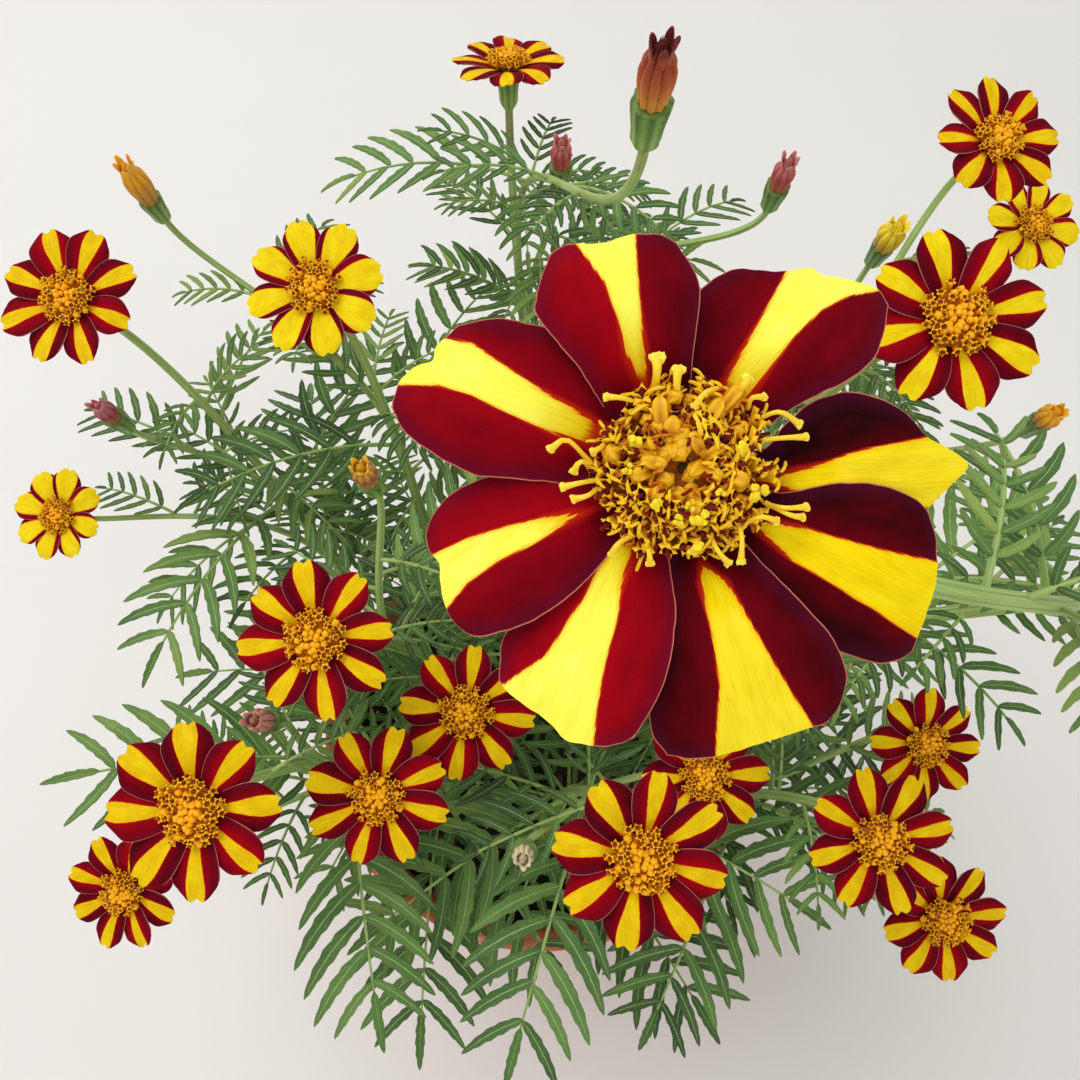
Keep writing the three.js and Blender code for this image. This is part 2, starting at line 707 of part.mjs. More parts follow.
// Every shoot of the plant, with its leaves in a spiral up its lower part
function growPlant() {
  const plant = STEMS.map((stem) => ({ stem, shoots: shootsOf(stem), leaves: [] }));
  const taken = [];
  for (const { stem, shoots } of plant) {
    for (const { line } of shoots) {
      const steps = line.length * 8;
      for (let i = 0; i <= steps; i += 1) {
        taken.push({ point: placeOn(line, i / steps), owner: stem.name });
      }
    }
  }
  plant.forEach(({ stem, shoots, leaves }, number) => {
    shoots.forEach(({ line, length }, order) => {
      const last = length * (order === 0 ? LEAFY_LEADER : LEAFY_SHOOT);
      const first = order === 0 ? LEAF_FIRST : SHOOT_FIRST_LEAF;
      for (let at = first, i = 0; at < last; at += LEAF_SPACING, i += 1) {
        const root = placeOn(line, at / length);
        const outward = Math.atan2(root.y - PLANT_MIDDLE_Y, root.x);
        const heading = outward + (order === 0 ? 0 : SHOOT_TWIST) + i * GOLDEN_TURN + number * STEM_TWIST;
        const height = Math.min((root.z - SOIL_TOP) / CANOPY_HEIGHT, 1);
        const size = THREE.MathUtils.lerp(LEAF_LONGEST, LEAF_SHORTEST, height);
        const leaf = growLeaf(root, heading, size, stem.name, taken);
        if (leaf) {
          leaves.push(leaf);
        }
      }
    });
  });
  return plant;
}

// A leaf's outline: pairs of pointed leaflets cut to the rib, and one at the end
function leafOutline(leaf) {
  const pairs = leaf.length > FOUR_PAIRS_FROM ? 4 : 3;
  const rib = 0.75;
  const firstPair = 0.2;
  const lastPair = 0.86;
  const right = [[0, -rib]];
  for (let i = 0; i < pairs; i += 1) {
    const along = THREE.MathUtils.lerp(firstPair, lastPair, i / pairs);
    const base = along * leaf.length;
    const long = leafletLength(leaf, along);
    const wide = long * 0.15;
    const ahead = Math.cos(LEAFLET_SWEEP);
    const out = Math.sin(LEAFLET_SWEEP);
    right.push([base, -rib]);
    right.push([base + long * ahead - wide * 0.4, -long * out]);
    right.push([base + long * 0.5 * ahead + wide * 1.7 * out, -long * 0.5 * out + wide * 1.7 * ahead]);
  }
  right.push([lastPair * leaf.length, -rib]);
  right.push([lastPair * leaf.length + leaf.length * 0.06, -leaf.length * 0.035]);
  const left = right.map(([x, y]) => [x, -y]).reverse();
  const outline = [...right, [leaf.length, 0], ...left];
  return new THREE.Shape(outline.map(([x, y]) => new THREE.Vector2(x, y)));
}

function leafBlade(leaf) {
  const sheet = new THREE.ShapeGeometry(leafOutline(leaf));
  reshape(sheet, (corner) => leafPoint(leaf, corner.x / leaf.length, corner.y));
  return thicken(sheet, LEAF_THICKNESS);
}

function buildStem({ stem, shoots, leaves }) {
  const foot = new THREE.Vector3(...stem.base, SOIL_TOP - BURIED_DEPTH);
  const [leader, ...sideShoots] = shoots;
  const tubes = [tube(leader, foot, STEM_SIDES), ...sideShoots.map((part) => tube(part, null, STALK_SIDES))];
  const cups = shoots.map(({ head }) => calyx(head));
  return toGeometry(fuse([...tubes, ...cups, ...leaves.map(leafBlade)]));
}

const group = new THREE.Group();

function add(parent, name, geometry, material) {
  const mesh = new THREE.Mesh(geometry, material.clone());
  mesh.name = name;
  parent.add(mesh);
}

function placeHead(head, seed) {
  const holder = new THREE.Group();
  holder.applyMatrix4(headMatrix(head));
  if (head.bloom) {
    add(holder, `rays_${head.name}`, buildRays(head, seed), PETAL_CRIMSON);
    add(holder, `disc_${head.name}`, buildDisc(head), DISC_GOLD);
  } else {
    add(holder, `bud_${head.name}`, buildBud(head), BUD_ORANGE);
  }
  group.add(holder);
}

add(group, 'pot', buildPot(), CLAY);
add(group, 'soil', buildSoil(), SOIL_BROWN);
for (const grown of growPlant()) {
  add(group, `stem_${grown.stem.name}`, buildStem(grown), LEAF_GREEN);
}
STEMS.flatMap((stem) => stem.heads).forEach((head, order) => placeHead(head, order + 1));

export default group;
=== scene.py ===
"""A striped french marigold in full bloom, in a clay pot, modelled in millimetres and set down in metres."""

import math
from bisect import bisect_right

import bmesh
import bpy
import numpy as np
from mathutils import Matrix, Vector
from mathutils.noise import noise


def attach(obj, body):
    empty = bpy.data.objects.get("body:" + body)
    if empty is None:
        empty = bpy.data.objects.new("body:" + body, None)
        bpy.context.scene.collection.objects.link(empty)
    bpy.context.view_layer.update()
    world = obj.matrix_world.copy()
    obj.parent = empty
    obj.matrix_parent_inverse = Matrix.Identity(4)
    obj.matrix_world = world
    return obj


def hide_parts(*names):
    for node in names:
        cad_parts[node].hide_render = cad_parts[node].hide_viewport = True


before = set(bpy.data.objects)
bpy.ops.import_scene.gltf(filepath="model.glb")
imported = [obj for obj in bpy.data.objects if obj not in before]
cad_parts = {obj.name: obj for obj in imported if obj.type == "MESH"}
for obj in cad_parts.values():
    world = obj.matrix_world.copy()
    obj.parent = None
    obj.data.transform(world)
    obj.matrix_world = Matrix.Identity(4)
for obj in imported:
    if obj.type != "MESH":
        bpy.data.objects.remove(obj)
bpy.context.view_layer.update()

MM = 0.001
UP = Vector((0, 0, 1))

# Pot and soil
POT_HEIGHT = 146
POT_BASE_RADIUS = 56
POT_RIM_RADIUS = 84
POT_WALL = 7
POT_FLOOR = 9
COLLAR_HEIGHT = 26
COLLAR_STEP = 3.5
POT_SOFTENING = 0.9
POT_SIDES = 112
DRAIN_HOLES = 3
DRAIN_RADIUS = 5
DRAIN_CIRCLE = 30
SOIL_TOP = 127
SOIL_MOUND = 5
SOIL_RINGS = 44
SOIL_SIDES = 120
FIT_GAP = 0.35

# Stems and stalks
STEM_RADIUS = 2.2
SHOOT_RADIUS = 1.25
STALK_RADIUS = 1
BURIED_DEPTH = 36
STEM_STEP = 34
ROUTE_STEP = 20
FORK_SHARE = 0.62
FORK_LOWEST = 0.25
FORK_HIGHEST = 0.72
RISING_PULL = 0.42
HEAD_PULL = 0.34

# Blooms, as shares of their width across
CALYX_LENGTH = 0.34
CALYX_RADIUS = 0.1
HUB_FOOT = -0.062
KNOB_RADIUS = 0.105
DISC_RADIUS = 0.165
DISC_RISE = 0.08
DISC_FOOT = 0.002
PETAL_ROOT = 0.062
PETAL_LENGTH = 0.49
ARCH_FOOT = -0.03
ARCH_RISE = 0.072

# A small petal's width as a share of its length, how steeply petals roll, and how far their arch turns
PETAL_WIDTH = 0.6084
PETAL_ROLL = 0.12
ARCH_TURN = 2.2

# Petals and florets: sizes, counts and seeds
PETALS = 8
PETAL_THICKNESS = 0.34
CLAW_HALF = 2.0
FLORET_SUNK = 2.5
DIMPLE_DEPTH = 2.15
DIMPLE_SIZE = 1.15
SMALL_FLORETS = 66
MAIN_FLORETS = 124
MAIN_THREADS = 260
MAIN_DISC_SEED = 71
SMALL_DISC_SEED = 300

# Buds and spent heads
BUD_RADIUS = 3.1
BUD_CUP_LENGTH = 12
BUD_CUP_RADIUS = 3.4
BUD_PLEATS = 9
BUD_TIPS = 6
BUD_SEED = 500
BUD_SPREADS = {"papery": 0.8, "yellow": 1.25, "orange": 1.1}
BUD_SPREAD = 0.95
BUD_COLOURS = {
    "papery": ("9a8f62", "cdb98e", "e0d0ac"),
    "brown_pink": ("8a5a40", "b06a5c", "c88a76"),
    "orange_maroon": ("c8841c", "b04c14", "6c0e10"),
    "yellow_tipped": ("b07c28", "8e3a26", "f0bc1c"),
    "maroon_pink": ("a0602c", "983038", "cc8086"),
    "pink_red": ("b85c34", "b8404a", "cc8078"),
    "orange": ("b48434", "d89018", "f4b41c"),
    "yellow": ("c89a10", "ecc414", "fbe436"),
}

# Leaves
LEAF_THICKNESS = 0.36
LEAF_BEND = 1.05
LEAF_VEE = 0.16
PLANT_MIDDLE_Y = 4
CANOPY_HEIGHT = 200
LEAF_LONGEST = 102
LEAF_SHORTEST = 60
LEAF_CLEARANCE = 5.5
LEAF_SAMPLES = 14
LARGE_LEAF = 55
LONG_LEAF = 84
LEAFLET_SHARE = 0.27
LEAFLET_SWEEP = math.radians(54)
GOLDEN_TURN = math.radians(137.508)
LEAF_TURNS = [math.radians(turn) for turn in (0, 20, -20, 42, -42, 66, -66, 95, -95, 130, -130)]
LEAF_RISES = [math.radians(rise) for rise in (34, 56, 14)]
LEAF_BARE = 0.18
SHOOT_TWIST = 0.7
STEM_TWIST = 0.4
BLOOM_CLEARANCE = 5
FACE_CLEARANCE = 45
STALK_CLEARANCE = 9
CUP_CLEARANCE = 16
TIP_CLEARANCE = 3
POT_CLEARANCE = 6
RIM_CLEARANCE = 8
SOIL_CLEARANCE = 12
CUP_SHARE = 0.5
LEAF_REACH = 1.2
SEEN_SHARE = 0.42
BUD_SEEN_SHARE = 0.6

# Rounds of leaves: the first leaf's distance up a leader and up a side shoot, the spacing, the leafy share
# of a leader and of a side shoot, the leaves' size and clearance, and their turn from the first round's
LEAF_ROUNDS = [
    (20, 4, 46, 0.66, 0.3, 1.0, LEAF_CLEARANCE, 0.0),
    (32, 16, 23, 0.8, 0.62, 0.6, 4.0, math.pi),
    (24, 10, 19, 0.86, 0.7, 0.42, 3.2, math.pi / 2),
    (28, 13, 21, 0.86, 0.66, 0.46, 2.8, math.pi * 1.5),
]

# What lies on the soil: shapes by seed and flatness, then count, sizes, finish, seed and rise
SOIL_LUMPS = [
    ([(0, 1), (1, 1), (2, 1), (3, 1)], 620, (0.5, 2.3), 0, 11, 0.2),
    ([(9, 0.35), (10, 0.25)], 70, (1.6, 4.2), 1, 12, 0.25),
    ([(14, 1), (15, 1)], 60, (0.5, 1.4), 2, 13, 0.3),
]

# The finishes of a leafy stem and of a disc, by their order
STEM, LEAF, CUP = range(3)
CORE, ANTHER, STYLE, THREAD, POLLEN, CLOSED, DIMPLE = range(1, 8)

# The studio, in metres: floor, cove and wall, and the lights' place, size and power
FLOOR_RADIUS = 5
COVE_RADIUS = 2
WALL_HEIGHT = 7
LIGHTS = {"sky": ((-0.55, 0.35, 1.5), 1.3, 14.6), "front": ((0.7, -1.1, 0.9), 1.2, 4.1)}

# Where the photograph was taken from, how wide it sees, and how far it is turned up from straight down
EYE = Vector((0, -122.7, 497.5))
VIEW_ANGLE = math.radians(60)
VIEW_TURN = math.radians(30)

# The blooms face the light, forwards and up
FACING = Vector((0, -0.5, 0.866))

# The photograph's frame: the large bloom's middle and the picture's in pixels, and the millimetres per pixel
# and the distance from the eye of the bloom's plane
BLOOM_PIXEL = (677.2, 463.5)
MIDDLE_PIXEL = (540, 540)
PIXEL_SIZE = 0.08746
VIEW_DISTANCE = 81.8


class Head:
    """A bloom, bud or spent head: where the middle of its face is, and how it looks."""

    def __init__(self, name, at, across, tilt, length=0, look="red"):
        self.name = name
        self.across = across
        self.length = length
        self.look = look
        face = (FACING + Vector((*tilt, 0))).normalized()
        up = (UP - face * face.z).normalized()
        turn = Matrix((up.cross(face), up, face)).transposed().to_4x4()
        self.face = face
        self.matrix = Matrix.Translation(at) @ turn
        self.height = at[2]

    def cup(self):
        """The height, length and radius of the green cup under the head."""
        if not self.across:
            return 0, BUD_CUP_LENGTH, BUD_CUP_RADIUS
        foot = HUB_FOOT * self.across if self.name == "main" else ARCH_FOOT * self.across - 0.3
        return foot - FIT_GAP, CALYX_LENGTH * self.across, CALYX_RADIUS * self.across

    def stalk_end(self):
        top, length, _ = self.cup()
        return self.matrix @ Vector((0, 0, top - length))


def bud(name, at, length, look):
    """A bud or spent head."""
    return Head(name, at, 0, (0, 0.2), length, look)


# The leafy stems: where each stands in the soil, and the heads that it carries, its leader's first
STEMS = {
    "main": ((42, -4), [Head("main", (12, -76, 430), 50, (0, 0))]),
    "front": ((6, -34), [
        Head("front", (23, -79, 277), 42, (0.03, 0.02)),
        Head("front_hidden", (47, -47, 231), 38, (0.05, 0.1)),
        bud("front_papery", (-4, -74, 259), 14, "papery"),
    ]),
    "front_right": ((44, -34), [
        Head("front_right", (86, -70, 254), 38, (-0.06, 0.04)),
        Head("right_low", (120, -32, 213), 36, (0.06, 0.02)),
        Head("front_far_right", (117, -82, 207), 38, (0.08, -0.05)),
    ]),
    "front_left": ((-34, -26), [
        Head("front_left", (-82, -67, 273), 44, (-0.08, 0.02)),
        Head("front_mid", (-42, -59, 255), 38, (0.02, -0.06)),
        Head("front_far_left", (-131, -71, 187), 38, (-0.15, -0.05)),
        bud("front_pink", (-70, -43, 267), 13, "brown_pink"),
    ]),
    "centre_left": ((-22, -2), [
        Head("centre_left", (-54, -30, 289), 40, (-0.08, 0.02)),
        Head("centre_low", (-20, -36, 254), 38, (0.05, 0.04)),
        bud("centre_orange", (-42, 5, 306), 13, "yellow_tipped"),
    ]),
    "right_back": ((36, 30), [
        Head("right_high", (96, 30, 335), 44, (0.04, -0.05), look="bright"),
        Head("right_far", (148, 100, 301), 30, (0.1, 0.05), look="yellow"),
        Head("right_top", (117, 86, 341), 34, (0.1, 0.12)),
        bud("right_folded", (104, 96, 297), 13, "yellow"),
        bud("right_spent", (150, 48, 273), 10, "orange"),
    ]),
    "left": ((-46, 8), [
        Head("left_high", (-136, 73, 298), 42, (-0.06, 0.06)),
        Head("left_far", (-160, 40, 232), 32, (-0.12, 0.05), look="yellow"),
        bud("left_pink", (-129, 51, 271), 12, "maroon_pink"),
    ]),
    "left_back": ((-32, 28), [
        Head("left_yellow", (-62, 66, 309), 40, (-0.05, 0.04), look="yellow"),
        bud("left_orange", (-114, 100, 311), 18, "orange"),
    ]),
    "back": ((4, 40), [
        Head("back", (-10, 150, 320), 36, (0, 0.64)),
        bud("back_pink", (6, 106, 318), 12, "pink_red"),
        bud("back_right", (66, 92, 322), 13, "pink_red"),
        bud("tall", (18, 13, 403), 14, "orange_maroon"),
    ]),
}
MAIN_ROUTE = [(50, -7, 195), (78, -22, 275), (96, -44, 338), (80, -59, 367), (53, -65, 385), (24, -61, 394)]

# The large bloom's petals: direction in degrees, length, roll, lift, how far each lobe goes from crimson to
# near black (partly the lobe's own darker red, partly painted shade), and how far the stripe goes from a pale
# lemon that paints a highlight on the upper petals to its own gold. Then in pixels of the photograph the edge
# on the counter-clockwise side from the root to the shoulder, tucked under the neighbour where that covers
# it, the end from shoulder to shoulder, the other edge, and the two edges of the yellow stripe
MAIN_PETALS = [
    (105, 20.6, 0, 1.3, (0.14, 0.5), 0.1,
     [(612, 419), (579, 368), (538, 318), (536, 300), (541, 279)],
     [(551, 256), (564, 247), (576, 245), (603, 244), (622, 238), (641, 235), (660, 236), (676, 244)],
     [(690, 385), (694, 346), (699, 305), (697, 278)],
     [(641, 385), (625, 350), (617, 320), (604, 283), (579, 249)],
     [(647, 385), (643, 339), (640, 304), (637, 270), (636, 237)]),
    (160, 24.8, 1, 0, (0.28, 0.36), 0.15,
     [(592, 483), (548, 482), (506, 478), (468, 473), (411, 438)],
     [(393, 408), (397, 389), (404, 378), (418, 366), (433, 362), (437, 347), (448, 337), (458, 327)],
     [(624, 420), (609, 392), (569, 338), (527, 324), (496, 319)],
     [(583, 441), (545, 430), (510, 415), (472, 396), (437, 386), (399, 386)],
     [(594, 423), (564, 404), (533, 385), (499, 362), (472, 344), (445, 339)]),
    (208, 23.6, 1, 0, (0.38, 0.18), 0.2,
     [(619, 540), (596, 570), (564, 600), (533, 620), (502, 631), (472, 635)],
     [(453, 618), (445, 603), (441, 582), (440, 564), (430, 550), (427, 532), (437, 511)],
     [(590, 472), (540, 468), (496, 474), (456, 492)],
     [(568, 522), (533, 545), (499, 561), (468, 583), (450, 606)],
     [(572, 515), (545, 518), (506, 526), (468, 538), (431, 556)]),
    (246, 25.3, 1, 0, (0.18, 0.2), 0.15,
     [(669, 552), (675, 603), (673, 641), (666, 677), (655, 702)],
     [(634, 737), (616, 744), (592, 745), (566, 739), (552, 724), (528, 706), (508, 692), (500, 680)],
     [(604, 530), (580, 562), (548, 596), (516, 622), (503, 640)],
     [(631, 551), (621, 587), (617, 622), (606, 660), (598, 702), (594, 742)],
     [(606, 551), (583, 599), (560, 633), (545, 656), (529, 666), (508, 681)]),
    (286, 25.4, 1, 0, (0.68, 0.72), 0.85,
     [(744, 543), (779, 580), (812, 614), (835, 643), (846, 675)],
     [(838, 706), (826, 722), (806, 728), (778, 737), (740, 749), (700, 758), (668, 754)],
     [(666, 548), (666, 622), (660, 664), (650, 700), (652, 732)],
     [(706, 568), (724, 580), (740, 603), (763, 645), (786, 683), (812, 724)],
     [(703, 568), (701, 582), (705, 606), (714, 648), (719, 687), (715, 754)]),
    (331, 24.8, 1, 0, (0.8, 0.82), 1.0,
     [(775, 492), (831, 484), (874, 484), (908, 495)],
     [(928, 512), (935, 538), (936, 560), (935, 582), (926, 612), (912, 650)],
     [(736, 546), (772, 592), (806, 628), (838, 650), (874, 662), (898, 659)],
     [(756, 521), (801, 528), (851, 541), (897, 553), (937, 562)],
     [(758, 528), (793, 561), (831, 583), (874, 610), (916, 638)]),
    (362, 25.0, 1, 0, (0.97, 0.82), 0.9,
     [(760, 450), (786, 423), (809, 404), (843, 392), (881, 400)],
     [(908, 416), (926, 436), (946, 448), (967, 465), (950, 484), (927, 506)],
     [(765, 494), (820, 526), (870, 536), (904, 528)],
     [(776, 478), (812, 467), (851, 453), (889, 444), (925, 437)],
     [(778, 484), (831, 502), (880, 510), (928, 507)]),
    (411, 21.8, -1, 0, (0.56, 0.54), 0.1,
     [(690, 400), (687, 360), (691, 312), (702, 289), (726, 273)],
     [(744, 270), (784, 272), (798, 270), (812, 269), (822, 276), (850, 281), (876, 290), (887, 306)],
     [(758, 432), (789, 411), (820, 394), (851, 379), (874, 358), (884, 331)],
     [(728, 380), (747, 342), (766, 308), (786, 272)],
     [(750, 392), (774, 362), (793, 339), (820, 312), (848, 297), (884, 291)]),
]

# The long styles of the large bloom, in pixels: foot, bend and tip
MAIN_STYLES = [
    ((640, 403), (622, 398), (607, 397)), ((590, 462), (567, 440), (551, 449)),
    ((592, 464), (580, 462), (574, 471)), ((596, 480), (580, 483), (563, 487)),
    ((597, 489), (587, 496), (574, 499)), ((604, 445), (598, 449), (593, 452)),
    ((690, 409), (697, 420), (703, 439)), ((720, 388), (706, 392), (695, 406)),
    ((748, 408), (752, 398), (764, 397)), ((757, 419), (780, 412), (799, 424)),
    ((757, 441), (782, 438), (806, 437)), ((768, 505), (786, 508), (806, 507)),
    ((766, 503), (790, 515), (803, 517)), ((745, 523), (762, 517), (776, 521)),
    ((739, 523), (742, 540), (741, 561)), ((711, 537), (718, 551), (728, 563)),
    ((646, 547), (649, 552), (650, 563)), ((633, 535), (618, 544), (612, 554)),
    ((700, 535), (696, 545), (692, 552)), ((655, 388), (657, 371), (657, 358), 1.7),
    ((677, 398), (677, 382), (678, 370), 1.5), ((735, 396), (744, 385), (748, 379), 1.3),
]

# The disc's middle, its largest closed florets (place, size, lean and its direction) and its lumps of pollen
DISC_PIXEL = (685, 467)
DIMPLE_PIXEL = (683, 468)
SMOOTH_FLORETS = [
    ((661, 404), 1.25, 1.1, 95), ((674, 420), 1.2, 0.7, 80), ((713, 416), 1.35, 0.6, 60),
    ((697, 441), 1.1, 0.5, 130), ((684, 443), 1.1, 0.3, 100), ((736, 394), 1.15, 0.9, 50),
    ((652, 461), 1.1, 0.5, 170), ((635, 475), 1.05, 0.7, 200), ((711, 455), 0.95, 0.2, 40),
    ((716, 474), 1.0, 0.6, 320), ((745, 481), 1.15, 0.6, 340), ((695, 498), 1.2, 0.5, 270),
    ((658, 492), 1.0, 0.5, 230),
]
POLLEN_LUMPS = [((743, 448), 1.3), ((656, 507), 1.3), ((700, 519), 1.6), ((677, 521), 1.0), ((761, 493), 1.6),
                ((721, 492), 0.9), ((697, 546), 1.2), ((635, 441), 1.3), ((690, 505), 0.9), ((628, 468), 0.9)]

scene = bpy.context.scene


def draws(seed):
    """A run of numbers from 0 to 1 that is the same each time for one seed."""
    state = seed * 7919 + 12345
    while True:
        state = (state * 1664525 + 1013904223) & 0xFFFFFFFF
        yield state / 4294967296


def mix(low, high, share):
    return low + (high - low) * share


def clamp(value, low=0, high=1):
    return min(max(value, low), high)


def ease(low, high, value):
    """0 below low and 1 above high, with a smooth step between."""
    share = clamp((value - low) / (high - low))
    return share * share * (3 - 2 * share)


def polar(out, angle, height=0.0):
    """The place at a distance from the Z axis, an angle round it and a height."""
    return Vector((out * math.cos(angle), out * math.sin(angle), height))


# Finishes

def paint(code):
    """The linear colour of a six-digit screen colour."""
    parts = [int(code[i:i + 2], 16) / 255 for i in (0, 2, 4)]
    return [part / 12.92 if part <= 0.04045 else ((part + 0.055) / 1.055) ** 2.4 for part in parts] + [1]


class Value:
    """A number, colour or vector that a node gives out, for use in expressions."""

    def __init__(self, finish, socket):
        self.finish = finish
        self.socket = socket

    def __add__(self, other):
        return self.finish.math("ADD", self, other)

    def __sub__(self, other):
        return self.finish.math("SUBTRACT", self, other)

    def __rsub__(self, other):
        return self.finish.math("SUBTRACT", other, self)

    def __mul__(self, other):
        return self.finish.math("MULTIPLY", self, other)

    __radd__ = __add__
    __rmul__ = __mul__


class Finish:
    """A material built from nodes."""

    def __init__(self, name, **settings):
        self.material = bpy.data.materials.new(name)
        self.material.use_nodes = True
        self.tree = self.material.node_tree
        self.shader = self.tree.nodes["Principled BSDF"]
        for socket, value in settings.items():
            self.shader.inputs[socket.replace("_", " ")].default_value = value

    def node(self, kind, settings, values, out=0):
        """Adds a node with its settings and socket values, and gives one of its outputs."""
        made = self.tree.nodes.new("ShaderNode" + kind)
        for name, value in settings.items():
            if name == "stops":
                self.set_stops(made.color_ramp, value)
            else:
                setattr(made, name, value)
        for name, value in values.items():
            self.feed(made.inputs[name], value)
        return Value(self, made.outputs[out])

    def set_stops(self, ramp, stops):
        for place, code in stops[2:]:
            ramp.elements.new(place)
        for element, (place, code) in zip(ramp.elements, stops):
            element.position = place
            element.color = paint(code)

    def feed(self, socket, value):
        if isinstance(value, Value):
            self.tree.links.new(value.socket, socket)
        else:
            socket.default_value = value

    def math(self, operation, one, other):
        return self.node("Math", {"operation": operation}, {0: one, 1: other})

    def blend(self, one, other, share):
        """A colour between two, by a share from 0 to 1."""
        one, other = (paint(colour) if isinstance(colour, str) else colour for colour in (one, other))
        return self.node("Mix", {"data_type": "RGBA"}, {0: share, 6: one, 7: other}, 2)

    def clip(self, value):
        """The value held between 0 and 1."""
        return self.node("Math", {"operation": "ADD", "use_clamp": True}, {0: value, 1: 0.0})

    def ramp(self, share, *stops):
        return self.node("ValToRGB", {"stops": stops}, {"Fac": share})

    def step(self, value, low, high):
        """0 below low and 1 above high, smooth between."""
        settings = {"interpolation_type": "SMOOTHSTEP"}
        return self.node("MapRange", settings, {"Value": value, "From Min": low, "From Max": high})

    def mark(self, name):
        """The three numbers that a shape's corners carry under a name."""
        vector = self.node("Attribute", {"attribute_name": name}, {}, "Vector")
        return [self.node("SeparateXYZ", {}, {0: vector}, i) for i in range(3)]

    def place(self):
        return self.node("TexCoord", {}, {}, "Object")

    def join(self, x, y, z):
        return self.node("CombineXYZ", {}, {0: x, 1: y, 2: z})

    def noise(self, vector, scale, detail=3, rough=0.55):
        values = {"Vector": vector, "Scale": scale, "Detail": detail, "Roughness": rough}
        return self.node("TexNoise", {}, values)

    def cells(self, scale):
        return self.node("TexVoronoi", {}, {"Vector": self.place(), "Scale": scale})

    def speckle(self, scale, detail, rough=0.55):
        return self.noise(self.place(), scale, detail, rough)

    def bump(self, height, distance, strength=1.0):
        values = {"Height": height, "Distance": distance * MM, "Strength": strength}
        self.feed(self.shader.inputs["Normal"], self.node("Bump", {}, values))

    def colour(self, value):
        self.feed(self.shader.inputs["Base Color"], value)
        return self.material

    def rough(self, value):
        self.feed(self.shader.inputs["Roughness"], value)


# The stripe's yellows. The first ramp is a paler lemon that paints a highlight; the second is the stripe's
# own gold; the third is darker, painted shade for the shaded smaller blooms; the last is for the bright and
# yellow smaller blooms
LEMON_HIGHLIGHT = ((0.25, "f3ee3a"), (0.5, "fbfb5e"), (0.75, "ffff78"))
GOLD = ((0.25, "dfb806"), (0.5, "f2d608"), (0.75, "fae422"))
SHADED_GOLD = ((0.25, "ca9a06"), (0.5, "e2bc0c"), (0.75, "f4d81c"))
BRIGHT_GOLD = ((0.25, "d4ac08"), (0.5, "eacc10"), (0.75, "fae626"))


def petal_finish(name, pale=LEMON_HIGHLIGHT, rich=GOLD, faded=0.0):
    """Crimson velvet lobes darkened partly by painted shade, a yellow stripe with soft orange edges whose
    paler lemon paints a highlight, fine veins, a painted purple sheen near the rims and a painted pale
    highlight along the hair-thin rim.
    """
    finish = Finish(name, Sheen_Weight=0.02, Sheen_Roughness=0.4, Specular_IOR_Level=0.04)
    stripe, rim, highlight_to_gold = finish.mark("form")
    across, out, dark = finish.mark("grain")
    veins = finish.noise(finish.join(across * 5.5, out * 0.35, highlight_to_gold * 9), 1, 3)
    cloud = finish.noise(finish.join(across * 0.4, out * 0.22, highlight_to_gold * 7 + 3), 1, 2)
    near = finish.step(out, 15, 8)
    edge = stripe + (veins - 0.5) * (near * 0.5 + 0.4)
    # Painted shade: the lobe's darkness mark is partly its own darker red, partly painted shade
    tone_and_shade = dark + (cloud - 0.5) * 0.4 + finish.step(out, 11, 7) * 0.12
    tone_and_shade = finish.clip(tone_and_shade + finish.step(rim, 3.0, 0.3) * 0.16 - finish.step(stripe, -2.4, -0.2) * 0.16)
    red = finish.ramp(tone_and_shade, (0.0, "9b0212"), (0.5, "68010f"), (1.0, "200204"))
    red = finish.blend(red, "a80a1c", finish.step(veins, 0.58, 0.85) * 0.12)
    # Painted sheen: a purple tint near the rims stands in for the velvet's sheen
    red = finish.blend(red, "5a1030", finish.step(rim, 2.0, 0.2) * 0.35)
    base = finish.step(out, 9.8, 7.4)
    tint = veins * 0.5 + cloud * 0.5
    # Painted highlight: where the mark is low the stripe takes the paler lemon ramp; near the disc and where
    # the mark is high it takes its own gold
    yellow = finish.blend(finish.ramp(tint, *pale), finish.ramp(tint, *rich), finish.clip(highlight_to_gold + near * 0.85))
    yellow = finish.blend(yellow, "f0a408", finish.step(edge, near * 0.5 + 0.35, 0.03) * 0.6)
    yellow = finish.blend(yellow, "d2380a", finish.step(base + (veins - 0.5) * 0.8, 0.35, 0.95))
    glow = finish.blend(red, "c42408", finish.step(edge, near * -0.75 - 0.2, -0.02) * 0.8)
    colour = finish.blend(glow, yellow, finish.step(edge, -0.03, 0.08))
    # Painted highlight: a pale pink line along the hair-thin rim of the red lobes
    line = finish.step(rim, 0.14, 0.05) * finish.step(edge, 0.05, -0.15)
    colour = finish.blend(colour, "d98468", line * 0.75)
    if faded:
        colour = finish.blend(colour, "b98a3a", faded)
    ridges = finish.noise(finish.join(across * 9, out * 0.5, 0), 1, 2)
    velvet = finish.speckle(9000, 1)
    finish.bump(ridges + velvet * 0.3, 0.09, 0.55)
    finish.rough(0.78 - finish.step(edge, -0.1, 0.2) * 0.16)
    return finish.colour(colour)


def floret_finish(name, foot, middle, top):
    """A waxy yellow that turns amber low down, from each floret's own height."""
    finish = Finish(name, Specular_IOR_Level=0.25, Roughness=0.5)
    height, _, chance = finish.mark("form")
    speck = finish.speckle(1800, 3)
    share = height + (chance - 0.5) * 0.3 + (speck - 0.5) * 0.35
    finish.bump(speck, 0.05, 0.5)
    return finish.colour(finish.ramp(share, (0.05, foot), (0.5, middle), (0.95, top)))


